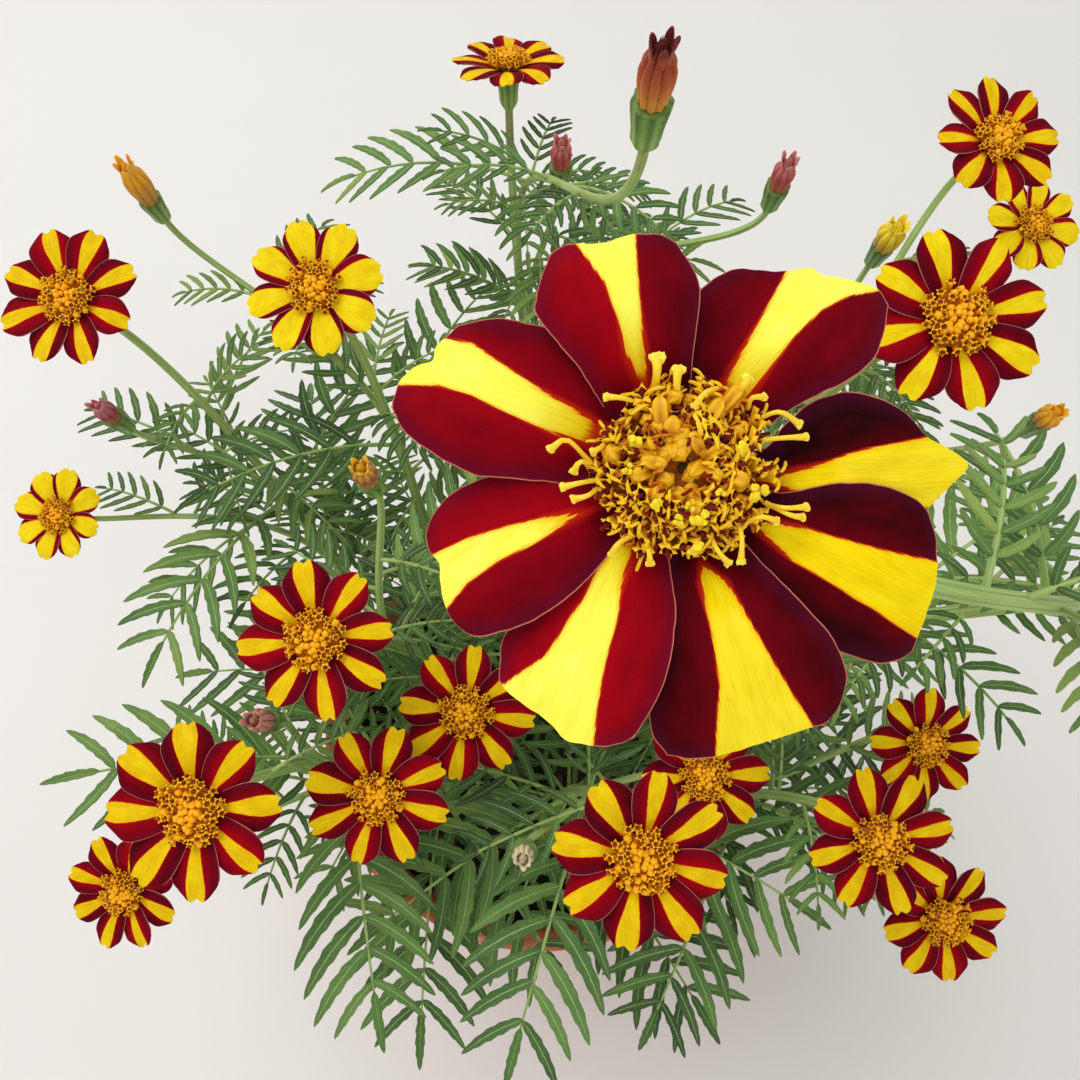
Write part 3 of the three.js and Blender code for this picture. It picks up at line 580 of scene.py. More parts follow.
def bud_finish(name, foot, middle, top):
    """Folded petals, coloured from the cup up, with painted shade in the folds."""
    finish = Finish(name, Specular_IOR_Level=0.3, Roughness=0.6, Sheen_Weight=0.1)
    height, fold, chance = finish.mark("form")
    veins = finish.noise(finish.join(fold * 14, height * 2, chance * 5), 1, 3)
    share = height + (veins - 0.5) * 0.4
    colour = finish.ramp(share, (0.1, foot), (0.5, middle), (0.9, top))
    finish.bump(veins, 0.12, 0.6)
    # Painted shade: near black in the creases between the pleats
    return finish.colour(finish.blend(colour, "1c0604", finish.step(fold, 0.3, 0.0) * 0.6))


def stem_finish():
    finish = Finish("pale_stem", Specular_IOR_Level=0.35, Roughness=0.5)
    along, rib, chance = finish.mark("form")
    streak = finish.noise(finish.join(rib * 3, along * 0.08, chance * 9), 1, 3)
    colour = finish.ramp(streak, (0.3, "7d9a48"), (0.55, "a0b96a"), (0.8, "b8cc82"))
    blush = finish.speckle(28, 3)
    colour = finish.blend(colour, "8c5a42", finish.step(blush, 0.56, 0.75) * 0.5)
    colour = finish.blend(colour, "557238", finish.step(rib, -0.3, -1.0) * 0.5)
    finish.bump(streak, 0.08, 0.5)
    return finish.colour(colour)


def leaf_finish():
    """Grey-green leaflets with a paler rib, side veins and small pale oil dots."""
    finish = Finish("ferny_leaf", Specular_IOR_Level=0.4)
    side, along, chance = finish.mark("form")
    _, _, shade = finish.mark("grain")
    width = finish.math("ABSOLUTE", side, 0)
    cloud = finish.speckle(60, 4)
    share = cloud * 0.55 + chance * 0.25 + shade * 0.35
    colour = finish.ramp(share, (0.25, "243f18"), (0.5, "42662a"), (0.68, "5e823a"), (0.9, "8aa04a"))
    rib = finish.step(width, 0.16, 0.03)
    saw = finish.math("FRACT", along * 7 - width * 1.6, 0)
    veins = finish.step(finish.math("ABSOLUTE", saw - 0.5, 0), 0.1, 0.0) * finish.step(width, 1.0, 0.5)
    colour = finish.blend(colour, "a5bf78", rib * 0.75)
    colour = finish.blend(colour, "83a560", veins * 0.45)
    dots = finish.step(finish.cells(900), 0.22, 0.12)
    colour = finish.blend(colour, "9fb668", dots * 0.35)
    brown = finish.step(width, 0.86, 1.05) * finish.step(cloud, 0.45, 0.7)
    colour = finish.blend(colour, "6d4a34", brown * 0.6)
    finish.bump(veins * -0.6 - rib, 0.16, 0.7)
    finish.rough(0.5 + cloud * 0.2)
    return finish.colour(colour)


def cup_finish():
    finish = Finish("green_cup", Specular_IOR_Level=0.35, Roughness=0.48)
    height, rib, _ = finish.mark("form")
    speck = finish.speckle(700, 3)
    share = height * 0.55 + rib * 0.22 + speck * 0.3
    colour = finish.ramp(share, (0.1, "98b260"), (0.45, "73934a"), (0.8, "4e7036"), (1.0, "5c4a30"))
    dots = finish.step(finish.cells(700), 0.25, 0.15)
    colour = finish.blend(colour, "7a5a26", dots * 0.35)
    finish.bump(speck + rib, 0.1, 0.5)
    return finish.colour(colour)


def clay_finish():
    """Fired clay: turning lines, pores, darker damp patches and a chalky bloom near the rim and foot."""
    finish = Finish("fired_clay", Specular_IOR_Level=0.2)
    place = finish.place()
    height = finish.node("SeparateXYZ", {}, {0: place}, 2) * 1000
    cloud = finish.noise(place, 22, 5, 0.6)
    grit = finish.noise(place, 1500, 4, 0.7)
    lines = finish.noise(finish.join(0, 0, height * 0.9 + cloud * 2), 1, 3)
    share = cloud * 0.6 + grit * 0.25 + lines * 0.2
    colour = finish.ramp(share, (0.3, "8a4128"), (0.5, "b4623c"), (0.62, "c47448"), (0.8, "d48c5e"))
    chalk = finish.noise(place, 46, 6, 0.68) + finish.step(height, 50, 0) * 0.12
    chalk += finish.step(height, 118, POT_HEIGHT) * 0.08
    colour = finish.blend(colour, "dcc8b2", finish.step(chalk, 0.58, 0.78) * 0.5)
    pores = finish.step(finish.cells(520), 0.2, 0.08)
    colour = finish.blend(colour, "6c3420", pores * 0.5)
    finish.bump(grit * 0.5 + lines * 0.7 - pores, 0.35, 0.6)
    finish.rough(0.78 + grit * 0.15)
    return finish.colour(colour)


def soil_finish():
    finish = Finish("potting_soil", Specular_IOR_Level=0.25)
    cloud = finish.speckle(90, 6, 0.65)
    grit = finish.speckle(1100, 5, 0.7)
    share = cloud * 0.5 + grit * 0.5
    colour = finish.ramp(share, (0.3, "120c09"), (0.5, "2a1e17"), (0.64, "43311f"), (0.8, "6a5238"))
    finish.bump(grit + cloud * 0.6, 0.9, 0.9)
    finish.rough(0.85 + grit * 0.12)
    return finish.colour(colour)


def grain_finish(name, low, high):
    finish = Finish(name, Specular_IOR_Level=0.25, Roughness=0.9)
    grit = finish.speckle(1700, 4, 0.7)
    finish.bump(grit, 0.3, 0.7)
    return finish.colour(finish.ramp(grit, (0.35, low), (0.7, high)))


def floor_finish():
    """A pale matt floor that glows a little far away, to stay pale behind the plant from every side."""
    finish = Finish("pale_floor", Specular_IOR_Level=0.2, Emission_Strength=1.0)
    cloud = finish.speckle(6, 3)
    finish.rough(0.7 + cloud * 0.1)
    away = finish.node("VectorMath", {"operation": "LENGTH"}, {0: finish.place()}, "Value")
    glow = finish.blend("000000", "8c8c8b", finish.step(away, 0.5, 2.2))
    finish.feed(finish.shader.inputs["Emission Color"], glow)
    return finish.colour(finish.ramp(cloud, (0.3, "e7e5e1"), (0.7, "e9e7e3")))


# Shapes

def new_shape():
    """An empty shape whose corners carry two marks for the finishes to follow."""
    bm = bmesh.new()
    bm.verts.layers.float_vector.new("form")
    bm.verts.layers.float_vector.new("grain")
    return bm


def layers(bm):
    marks = bm.verts.layers.float_vector
    return marks["form"], marks["grain"]


def to_mesh(bm):
    mesh = bpy.data.meshes.new("shape")
    bm.to_mesh(mesh)
    bm.free()
    return mesh


def add_copy(bm, shape, place):
    """Adds a copy of a finished shape at a place."""
    copy = shape.copy()
    copy.transform(place)
    bm.from_mesh(copy)
    bpy.data.meshes.remove(copy)


def add_part(bm, part, finish=None):
    """Adds one shape to another, with a finish of its own if one is named."""
    if finish is not None:
        for face in part.faces:
            face.material_index = finish
    mesh = to_mesh(part)
    bm.from_mesh(mesh)
    bpy.data.meshes.remove(mesh)


def sheet(bm, columns, rows, shape):
    """An open sheet on a grid. shape(side, along) gives a corner's place and its two marks."""
    form, grain = layers(bm)
    made = bmesh.ops.create_grid(bm, x_segments=columns, y_segments=rows, size=1)["verts"]
    for corner in made:
        corner.co, corner[form], corner[grain] = shape(corner.co.x, (corner.co.y + 1) / 2)


def thicken(bm, thickness, back=None):
    """Gives open sheets their thickness, half to each side, and their backs a finish if one is named."""
    bm.normal_update()
    for corner in bm.verts:
        corner.co += corner.normal * (thickness / 2)
    made = bmesh.ops.solidify(bm, geom=bm.faces[:], thickness=thickness)["geom"]
    if back is not None:
        for face in made:
            if isinstance(face, bmesh.types.BMFace):
                face.material_index = back


def side_ways(places):
    """Two directions square to a route at each of its places, without twist."""
    ahead = [(b - a).normalized() for a, b in zip(places, places[1:])]
    ways = [ahead[0], *((a + b).normalized() for a, b in zip(ahead, ahead[1:])), ahead[-1]]
    side = ways[0].orthogonal().normalized()
    pairs = []
    for way in ways:
        side = (side - way * side.dot(way)).normalized()
        pairs.append((side, way.cross(side)))
    return pairs


def rise_of(edge):
    return abs(edge.verts[0].co.z - edge.verts[1].co.z)


def cut_uprights(bm, tall, cuts):
    """Cuts every edge that rises by more than a height."""
    uprights = [edge for edge in bm.edges if rise_of(edge) > tall]
    bmesh.ops.subdivide_edges(bm, edges=uprights, cuts=cuts)


def ringed(steps, sides):
    """A closed tube one wide and one tall about +Z, cut into rings."""
    bm = new_shape()
    bmesh.ops.create_cone(bm, cap_ends=True, segments=sides, radius1=1, radius2=1, depth=1)
    cut_uprights(bm, 0.5, steps - 1)
    return bm


def tube(bm, places, radii, sides, ribs=0.0, finish=0, chance=0.0, height=None):
    """A closed round or ribbed tube through places, with a radius at each."""
    steps = len(places) - 1
    part = ringed(steps, sides)
    form, _ = layers(part)
    pairs = side_ways(places)
    for corner in part.verts:
        ring = round((corner.co.z + 0.5) * steps)
        rib = math.sin(5 * math.atan2(corner.co.y, corner.co.x))
        radius = radii[ring] * (1 + ribs * rib)
        side, other = pairs[ring]
        corner[form] = (ring * 3.0 if height is None else height, rib, chance)
        corner.co = places[ring] + (side * corner.co.x + other * corner.co.y) * radius
    add_part(bm, part, finish)


def turned(bm, profile, sides):
    """A shape turned about +Z from radius and height pairs, the first and last on the axis."""
    corners = [bm.verts.new((radius, 0, height)) for radius, height in profile]
    edges = [bm.edges.new(pair) for pair in zip(corners, corners[1:])]
    turn = dict(cent=(0, 0, 0), axis=(0, 0, 1), angle=2 * math.pi, steps=sides, use_merge=True)
    bmesh.ops.spin(bm, geom=[*corners, *edges], **turn)
    bmesh.ops.remove_doubles(bm, verts=bm.verts[:], dist=1e-4)
    bmesh.ops.recalc_face_normals(bm, faces=bm.faces[:])


def add_object(name, data):
    made = bpy.data.objects.new(name, data)
    scene.collection.objects.link(made)
    return made


def piece(name, bm, finishes, slot, *nodes, crease=50):
    """Sets a finished shape down as a piece of the object, in metres."""
    bm.transform(Matrix.Scale(MM, 4))
    mesh = to_mesh(bm)
    mesh.name = name
    for finish in finishes:
        mesh.materials.append(finish)
    mesh.polygons.foreach_set("use_smooth", [True] * len(mesh.polygons))
    mesh.set_sharp_from_angle(angle=math.radians(crease))
    made = add_object(name, mesh)
    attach(made, "root")
    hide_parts(*nodes)
    return made


# Routes

class Route:
    """A smooth curve that gives places at equal shares of its length."""

    MARKS = 200

    def __init__(self, point):
        self.point = point
        places = [point(i / self.MARKS) for i in range(self.MARKS + 1)]
        self.reached = [0.0]
        for one, other in zip(places, places[1:]):
            self.reached.append(self.reached[-1] + (other - one).length)
        self.length = self.reached[-1]

    def turn_at(self, share):
        target = share * self.length
        i = clamp(bisect_right(self.reached, target) - 1, 0, self.MARKS - 1)
        return (i + (target - self.reached[i]) / (self.reached[i + 1] - self.reached[i])) / self.MARKS

    def at(self, share):
        return self.point(clamp(self.turn_at(share)))

    def way_at(self, share):
        turn = self.turn_at(share)
        return (self.point(min(turn + 1e-4, 1)) - self.point(max(turn - 1e-4, 0))).normalized()


def through(points):
    """A smooth route through points."""
    points = [Vector(point) for point in points]
    ends = [points[0] * 2 - points[1], *points, points[-1] * 2 - points[-2]]

    def point(turn):
        whole = turn * (len(points) - 1)
        i = min(int(whole), len(points) - 2)
        share = whole - i
        a, b, c, d = ends[i:i + 4]
        way, onward = (c - a) / 2, (d - b) / 2
        return (b + way * share + (3 * (c - b) - 2 * way - onward) * share ** 2
                + (2 * (b - c) + way + onward) * share ** 3)

    return Route(point)


def rising_to(start, way, head):
    """The route of a shoot that starts one way and comes to its head from behind."""
    end = head.stalk_end()
    reach = (end - start).length
    lower = start + way * (reach * RISING_PULL)
    upper = end - head.face * (reach * HEAD_PULL)

    def point(turn):
        left = 1 - turn
        return (start * left ** 3 + lower * (3 * left ** 2 * turn)
                + upper * (3 * left * turn ** 2) + end * turn ** 3)

    return Route(point)


class Shoot:
    """A leader or side shoot: its route, and the straight line pieces that its leaves are spaced on."""

    def __init__(self, route, head, start, end):
        self.route = route
        self.head = head
        self.start = start
        self.end = end
        step = ROUTE_STEP if head.name == "main" else STEM_STEP
        steps = max(3, math.floor(route.length / step + 0.5))
        self.line = [route.at(i / steps) for i in range(steps + 1)]
        self.forks = []

    def place_on(self, share):
        at = share * (len(self.line) - 1)
        i = min(int(at), len(self.line) - 2)
        return self.line[i].lerp(self.line[i + 1], at - i)


def shoots_of(base, heads):
    start = Vector((*base, SOIL_TOP + SOIL_MOUND))
    first = heads[0]
    if first.name == "main":
        route = through([start, *MAIN_ROUTE, first.stalk_end()])
    else:
        route = rising_to(start, UP, first)
    leader = Shoot(route, first, STEM_RADIUS, SHOOT_RADIUS)
    shoots = [leader]
    for head in heads[1:]:
        level = FORK_SHARE * (head.height - SOIL_TOP) / (first.height - SOIL_TOP)
        share = clamp(level, FORK_LOWEST, FORK_HIGHEST)
        side = rising_to(leader.place_on(share), leader.route.way_at(share), head)
        shoots.append(Shoot(side, head, SHOOT_RADIUS, STALK_RADIUS))
        leader.forks.append(share)
    return shoots


# Where the leaves grow

class Leaf:
    def __init__(self, root, heading, rise, length):
        self.root = root
        self.heading = heading
        self.rise = rise
        self.length = length

    def points(self, along, left, lift=0.0):
        """Places on the arched leaf, from shares along its rib and distances to its left."""
        angle = self.rise - LEAF_BEND * along
        out = (self.length / LEAF_BEND) * (math.sin(self.rise) - np.sin(angle))
        up = (self.length / LEAF_BEND) * (np.cos(angle) - math.cos(self.rise))
        rise = LEAF_VEE * np.abs(left) + lift
        level = out - rise * np.sin(angle)
        x = self.root[0] + level * math.cos(self.heading) - left * math.sin(self.heading)
        y = self.root[1] + level * math.sin(self.heading) + left * math.cos(self.heading)
        return np.stack([x, y, self.root[2] + up + rise * np.cos(angle)], axis=-1)

    def leaflet(self, along):
        return self.length * LEAFLET_SHARE * (0.62 + 0.5 * math.sin(math.pi * min(along * 1.15, 1)))

    def samples(self):
        """Places all over the leaf, from its rib to the tips of its leaflets."""
        along, left = [], []
        for step in range(1, LEAF_SAMPLES + 1):
            share = step / LEAF_SAMPLES
            side = self.leaflet(share) * (0.3 if share > 0.95 else 0.8)
            for way in (0,) if share < LEAF_BARE else (-1, -0.5, 0, 0.5, 1):
                along.append(share)
                left.append(way * side)
        return self.points(np.array(along), np.array(left))


HEADS = [head for _, heads in STEMS.values() for head in heads]
INTO_HEADS = [np.array(head.matrix.inverted()) for head in HEADS]


def near_a_head(points, small):
    """Whether any place lies on a head, over its face or in its cup, or hides a bloom from the eye. A small
    leaf, which the solids don't have, doesn't hide a bud either."""
    for head, into in zip(HEADS, INTO_HEADS):
        local = points @ into[:3, :3].T + into[:3, 3]
        eye = into[:3, :3] @ np.array(EYE) + into[:3, 3]
        out, height = np.hypot(local[:, 0], local[:, 1]), local[:, 2]
        middle = 0 if head.across else head.length / 2
        seen = eye + (local - eye) * ((eye[2] - middle) / (eye[2] - height))[:, None]
        seen_out = np.hypot(seen[:, 0], seen[:, 1])
        between = (height >= 1) & (height <= eye[2])
        if head.across:
            near = (out < head.across / 2 + BLOOM_CLEARANCE) & (np.abs(height) < STALK_CLEARANCE)
            near |= (out < head.across / 2) & (height > 0) & (height < FACE_CLEARANCE)
            near |= (out < STALK_CLEARANCE) & (height > -CUP_SHARE * head.across) & (height < 0)
            near |= between & (seen_out < head.across * SEEN_SHARE)
        else:
            near = (height > -CUP_CLEARANCE) & (height < head.length + TIP_CLEARANCE)
            near &= out < STALK_CLEARANCE
            near |= small & between & (seen_out < head.length * BUD_SEEN_SHARE)
        if near.any():
            return True
    return False


def inner_radius(height):
    slope = (POT_RIM_RADIUS - POT_BASE_RADIUS) / POT_HEIGHT
    return POT_BASE_RADIUS - POT_WALL + slope * height


def in_pot(points):
    out = np.hypot(points[:, 0], points[:, 1])
    over_soil = out < inner_radius(SOIL_TOP) - POT_CLEARANCE
    floor = np.where(over_soil, SOIL_TOP + SOIL_CLEARANCE, POT_HEIGHT + POT_CLEARANCE)
    return bool(((out < POT_RIM_RADIUS + RIM_CLEARANCE) & (points[:, 2] < floor)).any())


class Garden:
    """The places that stems and leaves take up, and whose they are."""

    def __init__(self):
        self.points = np.zeros((0, 3))
        self.owners = np.zeros(0, int)

    def take(self, points, owner):
        self.points = np.vstack([self.points, points])
        self.owners = np.concatenate([self.owners, np.full(len(points), owner)])

    def grow(self, root, heading, length, owner, clearance):
        """A leaf at the first heading and rise at which it clears what stands, or none."""
        reach = length * LEAF_REACH + clearance
        near = (self.owners != owner) & (np.abs(self.points - np.array(root)).max(axis=1) < reach)
        others = self.points[near]
        for rise in LEAF_RISES:
            for turn in LEAF_TURNS:
                leaf = Leaf(root, heading + turn, rise, length)
                samples = leaf.samples()
                if in_pot(samples):
                    continue
                low, high = samples.min(axis=0) - clearance, samples.max(axis=0) + clearance
                close = others[((others > low) & (others < high)).all(axis=1)]
                apart = ((samples[:, None, :] - close[None, :, :]) ** 2).sum(axis=2)
                if (apart >= clearance ** 2).all() and not near_a_head(samples, clearance < LEAF_CLEARANCE):
                    self.take(samples, owner + len(STEMS))
                    return leaf
        return None


def grow_plant():
    """Every stem's shoots and leaves: a spiral of large ones, then smaller ones where room is left."""
    garden = Garden()
    plant = [(name, shoots_of(base, heads), []) for name, (base, heads) in STEMS.items()]
    for owner, (_, shoots, _) in enumerate(plant):
        for shoot in shoots:
            steps = len(shoot.line) * 8
            garden.take(np.array([shoot.place_on(i / steps) for i in range(steps + 1)]), owner)
    for first, first_up, spacing, leafy, leafy_up, size, clearance, opposite in LEAF_ROUNDS:
        for owner, (_, shoots, leaves) in enumerate(plant):
            for order, shoot in enumerate(shoots):
                start, share, twist = (first_up, leafy_up, SHOOT_TWIST) if order else (first, leafy, 0)
                length = shoot.route.length
                for count, at in enumerate(range(start, math.ceil(length * share), spacing)):
                    root = shoot.place_on(at / length)
                    outward = math.atan2(root.y - PLANT_MIDDLE_Y, root.x)
                    heading = outward + twist + count * GOLDEN_TURN + owner * STEM_TWIST
                    height = min((root.z - SOIL_TOP) / CANOPY_HEIGHT, 1)
                    long = mix(LEAF_LONGEST, LEAF_SHORTEST, height) * size
                    leaf = garden.grow(root, heading + opposite, long, owner, clearance)
                    if leaf:
                        leaf.root = shoot.route.at(at / length)
                        leaves.append(leaf)
    return plant


# Leaves and stems

def add_leaflet(bm, leaf, base, long, way, rows, chance):
    """One toothed lance-shaped leaflet, shaped in the leaf's plane and set on its arch."""
    form, grain = layers(bm)
    made = bmesh.ops.create_grid(bm, x_segments=2, y_segments=rows, size=1)["verts"]
    flat = []
    for corner in made:
        side, along = corner.co.x, (corner.co.y + 1) / 2
        swell = (along ** 0.55) * ((1 - along) ** 0.75) * 1.72
        tooth = (along * rows / 3) % 1
        teeth = 1 - 0.3 * (1 - tooth) * min(1, 6 * along) if 0.02 < along < 0.97 else 1
        half = long * 0.125 * swell * mix(1, teeth, abs(side)) + 0.12
        turn = way * mix(LEAFLET_SWEEP * 1.08, LEAFLET_SWEEP * 0.86, along) if way else 0
        x = base + long * along * math.cos(turn) + side * half * math.sin(turn)
        y = long * along * math.sin(turn) - side * half * math.cos(turn)
        lift = 0.42 * abs(side) * half - 0.05 * long * along ** 2
        flat.append((x / leaf.length, y, lift))
        corner[form] = (side, along, chance)
        corner[grain] = (0, 0, leaf.shade)
    for corner, point in zip(made, leaf.points(*np.array(flat).T)):
        corner.co = point


def add_leaf(bm, leaf, draw):
    """A pinnate leaf's leaflets in pairs along its rib, with one at the end."""
    leaf.shade = next(draw)
    part = new_shape()
    large = leaf.length > LARGE_LEAF
    pairs = 7 if leaf.length > LONG_LEAF else 6 if large else 5
    rows = 15 if large else 9
    first, last = 0.2, 0.9
    for i in range(pairs):
        along = mix(first, last, i / pairs)
        long = leaf.leaflet(along) * (1.02 if large else 1.1)
        for way in (1, -1):
            shift = (next(draw) - 0.5) * 0.02
            size = long * (0.92 + 0.16 * next(draw))
            base = (along + shift) * leaf.length
            add_leaflet(part, leaf, base, size, way, rows, next(draw))
    base = (last - 0.07) * leaf.length
    add_leaflet(part, leaf, base, leaf.length * 1.02 - base, 0, rows, next(draw))
    thicken(part, LEAF_THICKNESS)
    add_part(bm, part, LEAF)


def add_rib(bm, leaf):
    """A leaf's rib, thick at the stem and thin at the tip."""
    steps = 10 if leaf.length > LARGE_LEAF else 7
    shares = np.linspace(-0.01, 0.9, steps + 1)
    places = [Vector(point) for point in leaf.points(shares, np.zeros(steps + 1), -0.1)]
    thick = 0.5 + leaf.length * 0.005
    radii = [mix(thick, 0.26, clamp(share) ** 0.7) for share in shares]
    tube(bm, places, radii, 6, finish=STEM, chance=leaf.shade)


def add_shoot(bm, shoot, leader, draw):
    """A ribbed shoot, swollen where others fork off."""
    length = shoot.route.length
    steps = max(8, round(length / 3.2))
    shares = [i / steps for i in range(steps + 1)]
    places = [shoot.route.at(share) for share in shares]
    radii = [mix(shoot.start, shoot.end, share) for share in shares]
    for fork in shoot.forks:
        for i, share in enumerate(shares):
            radii[i] += 0.5 * math.exp(-((share - fork) * length / 3.5) ** 2)
    if leader:
        foot = Vector((places[0].x, places[0].y, SOIL_TOP - BURIED_DEPTH))
        buried = [foot.lerp(places[0], i / 6) for i in range(6)]
        places = [*buried, *places]
        radii = [shoot.start + 0.35 * i / 6 for i in range(6)] + [
            radius + 0.4 * math.exp(-i / 3) for i, radius in enumerate(radii)]
    tube(bm, places, radii, 10 if leader else 8, ribs=0.06, finish=STEM, chance=next(draw))


def add_cup(bm, head):
    """The ribbed green cup under a head, ending in small teeth round its mouth."""
    part = ringed(14, 40)
    form, _ = layers(part)
    top, length, radius = head.cup()
    for corner in part.verts:
        share = corner.co.z + 0.5
        angle = math.atan2(corner.co.y, corner.co.x)
        rib = math.cos(PETALS * angle)
        swell = mix(STALK_RADIUS, radius * 0.8, ease(0.0, 0.3, share)) + radius * 0.2 * ease(0.25, 1, share)
        swell *= 1 + 0.05 * rib * ease(0.12, 0.3, share) - 0.05 * math.sin(math.pi * share) ** 2
        tooth = 0.12 * length * ease(0.85, 1, share) * (0.5 + 0.5 * rib) if head.across else 0
        height = top - length - 1.2 + (length + 1.2) * share + tooth * 0.35
        corner[form] = (share, rib, 0.5)
        corner.co = head.matrix @ polar(swell, angle, height)
    add_part(bm, part, CUP)


def make_stem(name, shoots, leaves, seed, finishes):
    """A leafy stem with its leaves, shoots and cups."""
    draw = draws(seed)
    bm = new_shape()
    for leaf in leaves:
        add_leaf(bm, leaf, draw)
        add_rib(bm, leaf)
    for order, shoot in enumerate(shoots):
        add_shoot(bm, shoot, order == 0, draw)
        add_cup(bm, shoot.head)
    piece(f"leafy_stem_{name}", bm, finishes, "foliage", f"stem_{name}")


# Petals

def arch(along, across):
    """How high a petal stands at a share of its length."""
    return across * (ARCH_FOOT + ARCH_RISE * math.sin(along * ARCH_TURN))


def from_photo(pixel):
    """A pixel's place in the large bloom's own plane."""
    return Vector(((pixel[0] - BLOOM_PIXEL[0]) * PIXEL_SIZE, (BLOOM_PIXEL[1] - pixel[1]) * PIXEL_SIZE))


def raised(flat, height):
    """A place seen at a point of the bloom's plane, but nearer to the eye by a height."""
    middle = from_photo(MIDDLE_PIXEL)
    flat = middle + (flat - middle) * (1 - height / VIEW_DISTANCE)
    return Vector((flat.x, flat.y, height))


def add_main_petal(bm, petal, across):
    """A petal of the large bloom, stretched between its measured edges and arched like its solid."""
    toward, length, roll, lift, dark, highlight_to_gold, left_edge, tip, right_edge, *stripe = petal
    columns, rows = 40, 52
    toward = math.radians(toward)
    out = Vector((math.cos(toward), math.sin(toward)))
    left = Vector((-out.y, out.x))
    root = PETAL_ROOT * across
    edges = []
    for pixels, way, shoulder in ((left_edge, 1, tip[0]), (right_edge, -1, tip[-1])):
        start = out * root + left * (CLAW_HALF * way)
        edges.append(through([start, *map(from_photo, [*pixels, shoulder])]))
    end = through([from_photo(pixel) for pixel in tip])
    sides = [[edge.at(i / rows) for edge in edges] for i in range(rows + 1)]
    tips = [end.at(i / columns) for i in range(columns + 1)]
    lines = []
    for line in stripe:
        flat = sorted((from_photo(pixel).dot(out), from_photo(pixel).dot(left)) for pixel in line)
        lines.append(np.array(flat).T)

    def line_at(line, x):
        """Where a stripe's edge lies at a distance out, carried on straight past its ends."""
        xs, ys = line
        if x < xs[0]:
            return ys[0] + (x - xs[0]) * (ys[1] - ys[0]) / (xs[1] - xs[0])
        if x > xs[-1]:
            return ys[-1] + (x - xs[-1]) * (ys[-1] - ys[-2]) / (xs[-1] - xs[-2])
        return float(np.interp(x, xs, ys))

    def shape(side, along):
        i, j = round((side + 1) / 2 * columns), round(along * rows)
        share = i / columns
        one, other = sides[j]
        foot = sides[0][0].lerp(sides[0][1], share)
        straight = one.lerp(other, share)
        spread = foot.lerp(tips[i], along)
        corners = foot.lerp(tips[0].lerp(tips[-1], share), along)
        flat = straight + spread - corners
        x, y = flat.dot(out), flat.dot(left)
        reach = clamp((x - root) / (length - root), 0, 1.1)
        ramp = clamp((reach - 0.12) * 1.9)
        half = (one - other).length / 2
        z = arch(reach, across) + (PETAL_ROLL * roll * y + lift) * ramp
        nick = 0.11 * noise(Vector((x * 0.9, y * 0.9, toward))) * max(abs(side) ** 8, along ** 8)
        flat += (flat - out * (length * 0.6)).normalized() * nick
        wave = noise(Vector((x * 0.12, y * 0.22, toward * 3)))
        z += 0.7 * wave * reach ** 2 - 0.35 * side ** 4 * ramp - 0.5 * ease(0.86, 1.1, reach)
        z += 0.1 * math.cos(y * 2.4) * ramp * (1 - abs(side))
        upper, lower = (line_at(line, x) for line in lines)
        rim = min((1 - abs(side)) * half, (1 - along) * length)
        # The lobe's darkness from the table: partly its own darker red, partly painted shade
        lobe = dark[0 if y > (upper + lower) / 2 else 1]
        # The form mark carries how far the stripe goes from a painted lemon highlight to its own gold
        return raised(flat, z), (min(upper - y, y - lower), rim, highlight_to_gold), (y, x, lobe)

    sheet(bm, columns, rows, shape)


def half_width(along):
    """The half width of a small petal at a share of its length: a claw, a broad middle and a round end."""
    claw, broadest, taper = 0.27, 0.7, 0.34
    close = max(along - broadest, 0) / (1 - broadest)
    return claw + (1 - claw) * math.sin(min(along / broadest, 1) * math.pi / 2) - taper * close ** 2


def add_small_petal(bm, head, toward, length, lean, chance):
    """A petal of a smaller bloom: two lobes with a shallow notch, and a stripe that widens outwards."""
    across = head.across
    root = PETAL_ROOT * across
    width = PETAL_WIDTH * length * (1 - 0.16 * (chance * 5.3 % 1))
    yellow = head.look == "yellow"
    inner, outer = (0.42, 0.86) if yellow else (0.1, 0.5 + 0.14 * (chance - 0.5))
    off = (chance - 0.5) * 0.1 * width
    turn = Matrix.Rotation(toward, 3, "Z")

    def shape(side, along):
        lobe = 0.055 * max(0, 1 - abs(side) * 3) + 0.15 * abs(side) ** 3
        x = root + (length - root) * along * (1 - lobe * along ** 3)
        y = -side * width / 2 * half_width(along)
        z = arch(along, across) + PETAL_ROLL * y * min(along * 1.5, 1)
        z += 0.9 * noise(Vector((x * 0.14, y * 0.2, chance * 20))) * along ** 2 - 0.3 * side ** 4 * along
        broad = width / 2 * half_width(along)
        stripe = broad * mix(inner, outer, along) - abs(y - off * along)
        rim = min((1 - abs(side)) * broad, (1 - along) * length)
        marks = (stripe, rim, 0.85 + 0.3 * chance), (y + chance * 40, 4 + x, 0.2 + 0.45 * chance)
        return turn @ Matrix.Rotation(lean * along, 3, "Z") @ Vector((x, y, z)), *marks

    sheet(bm, 12, 14, shape)


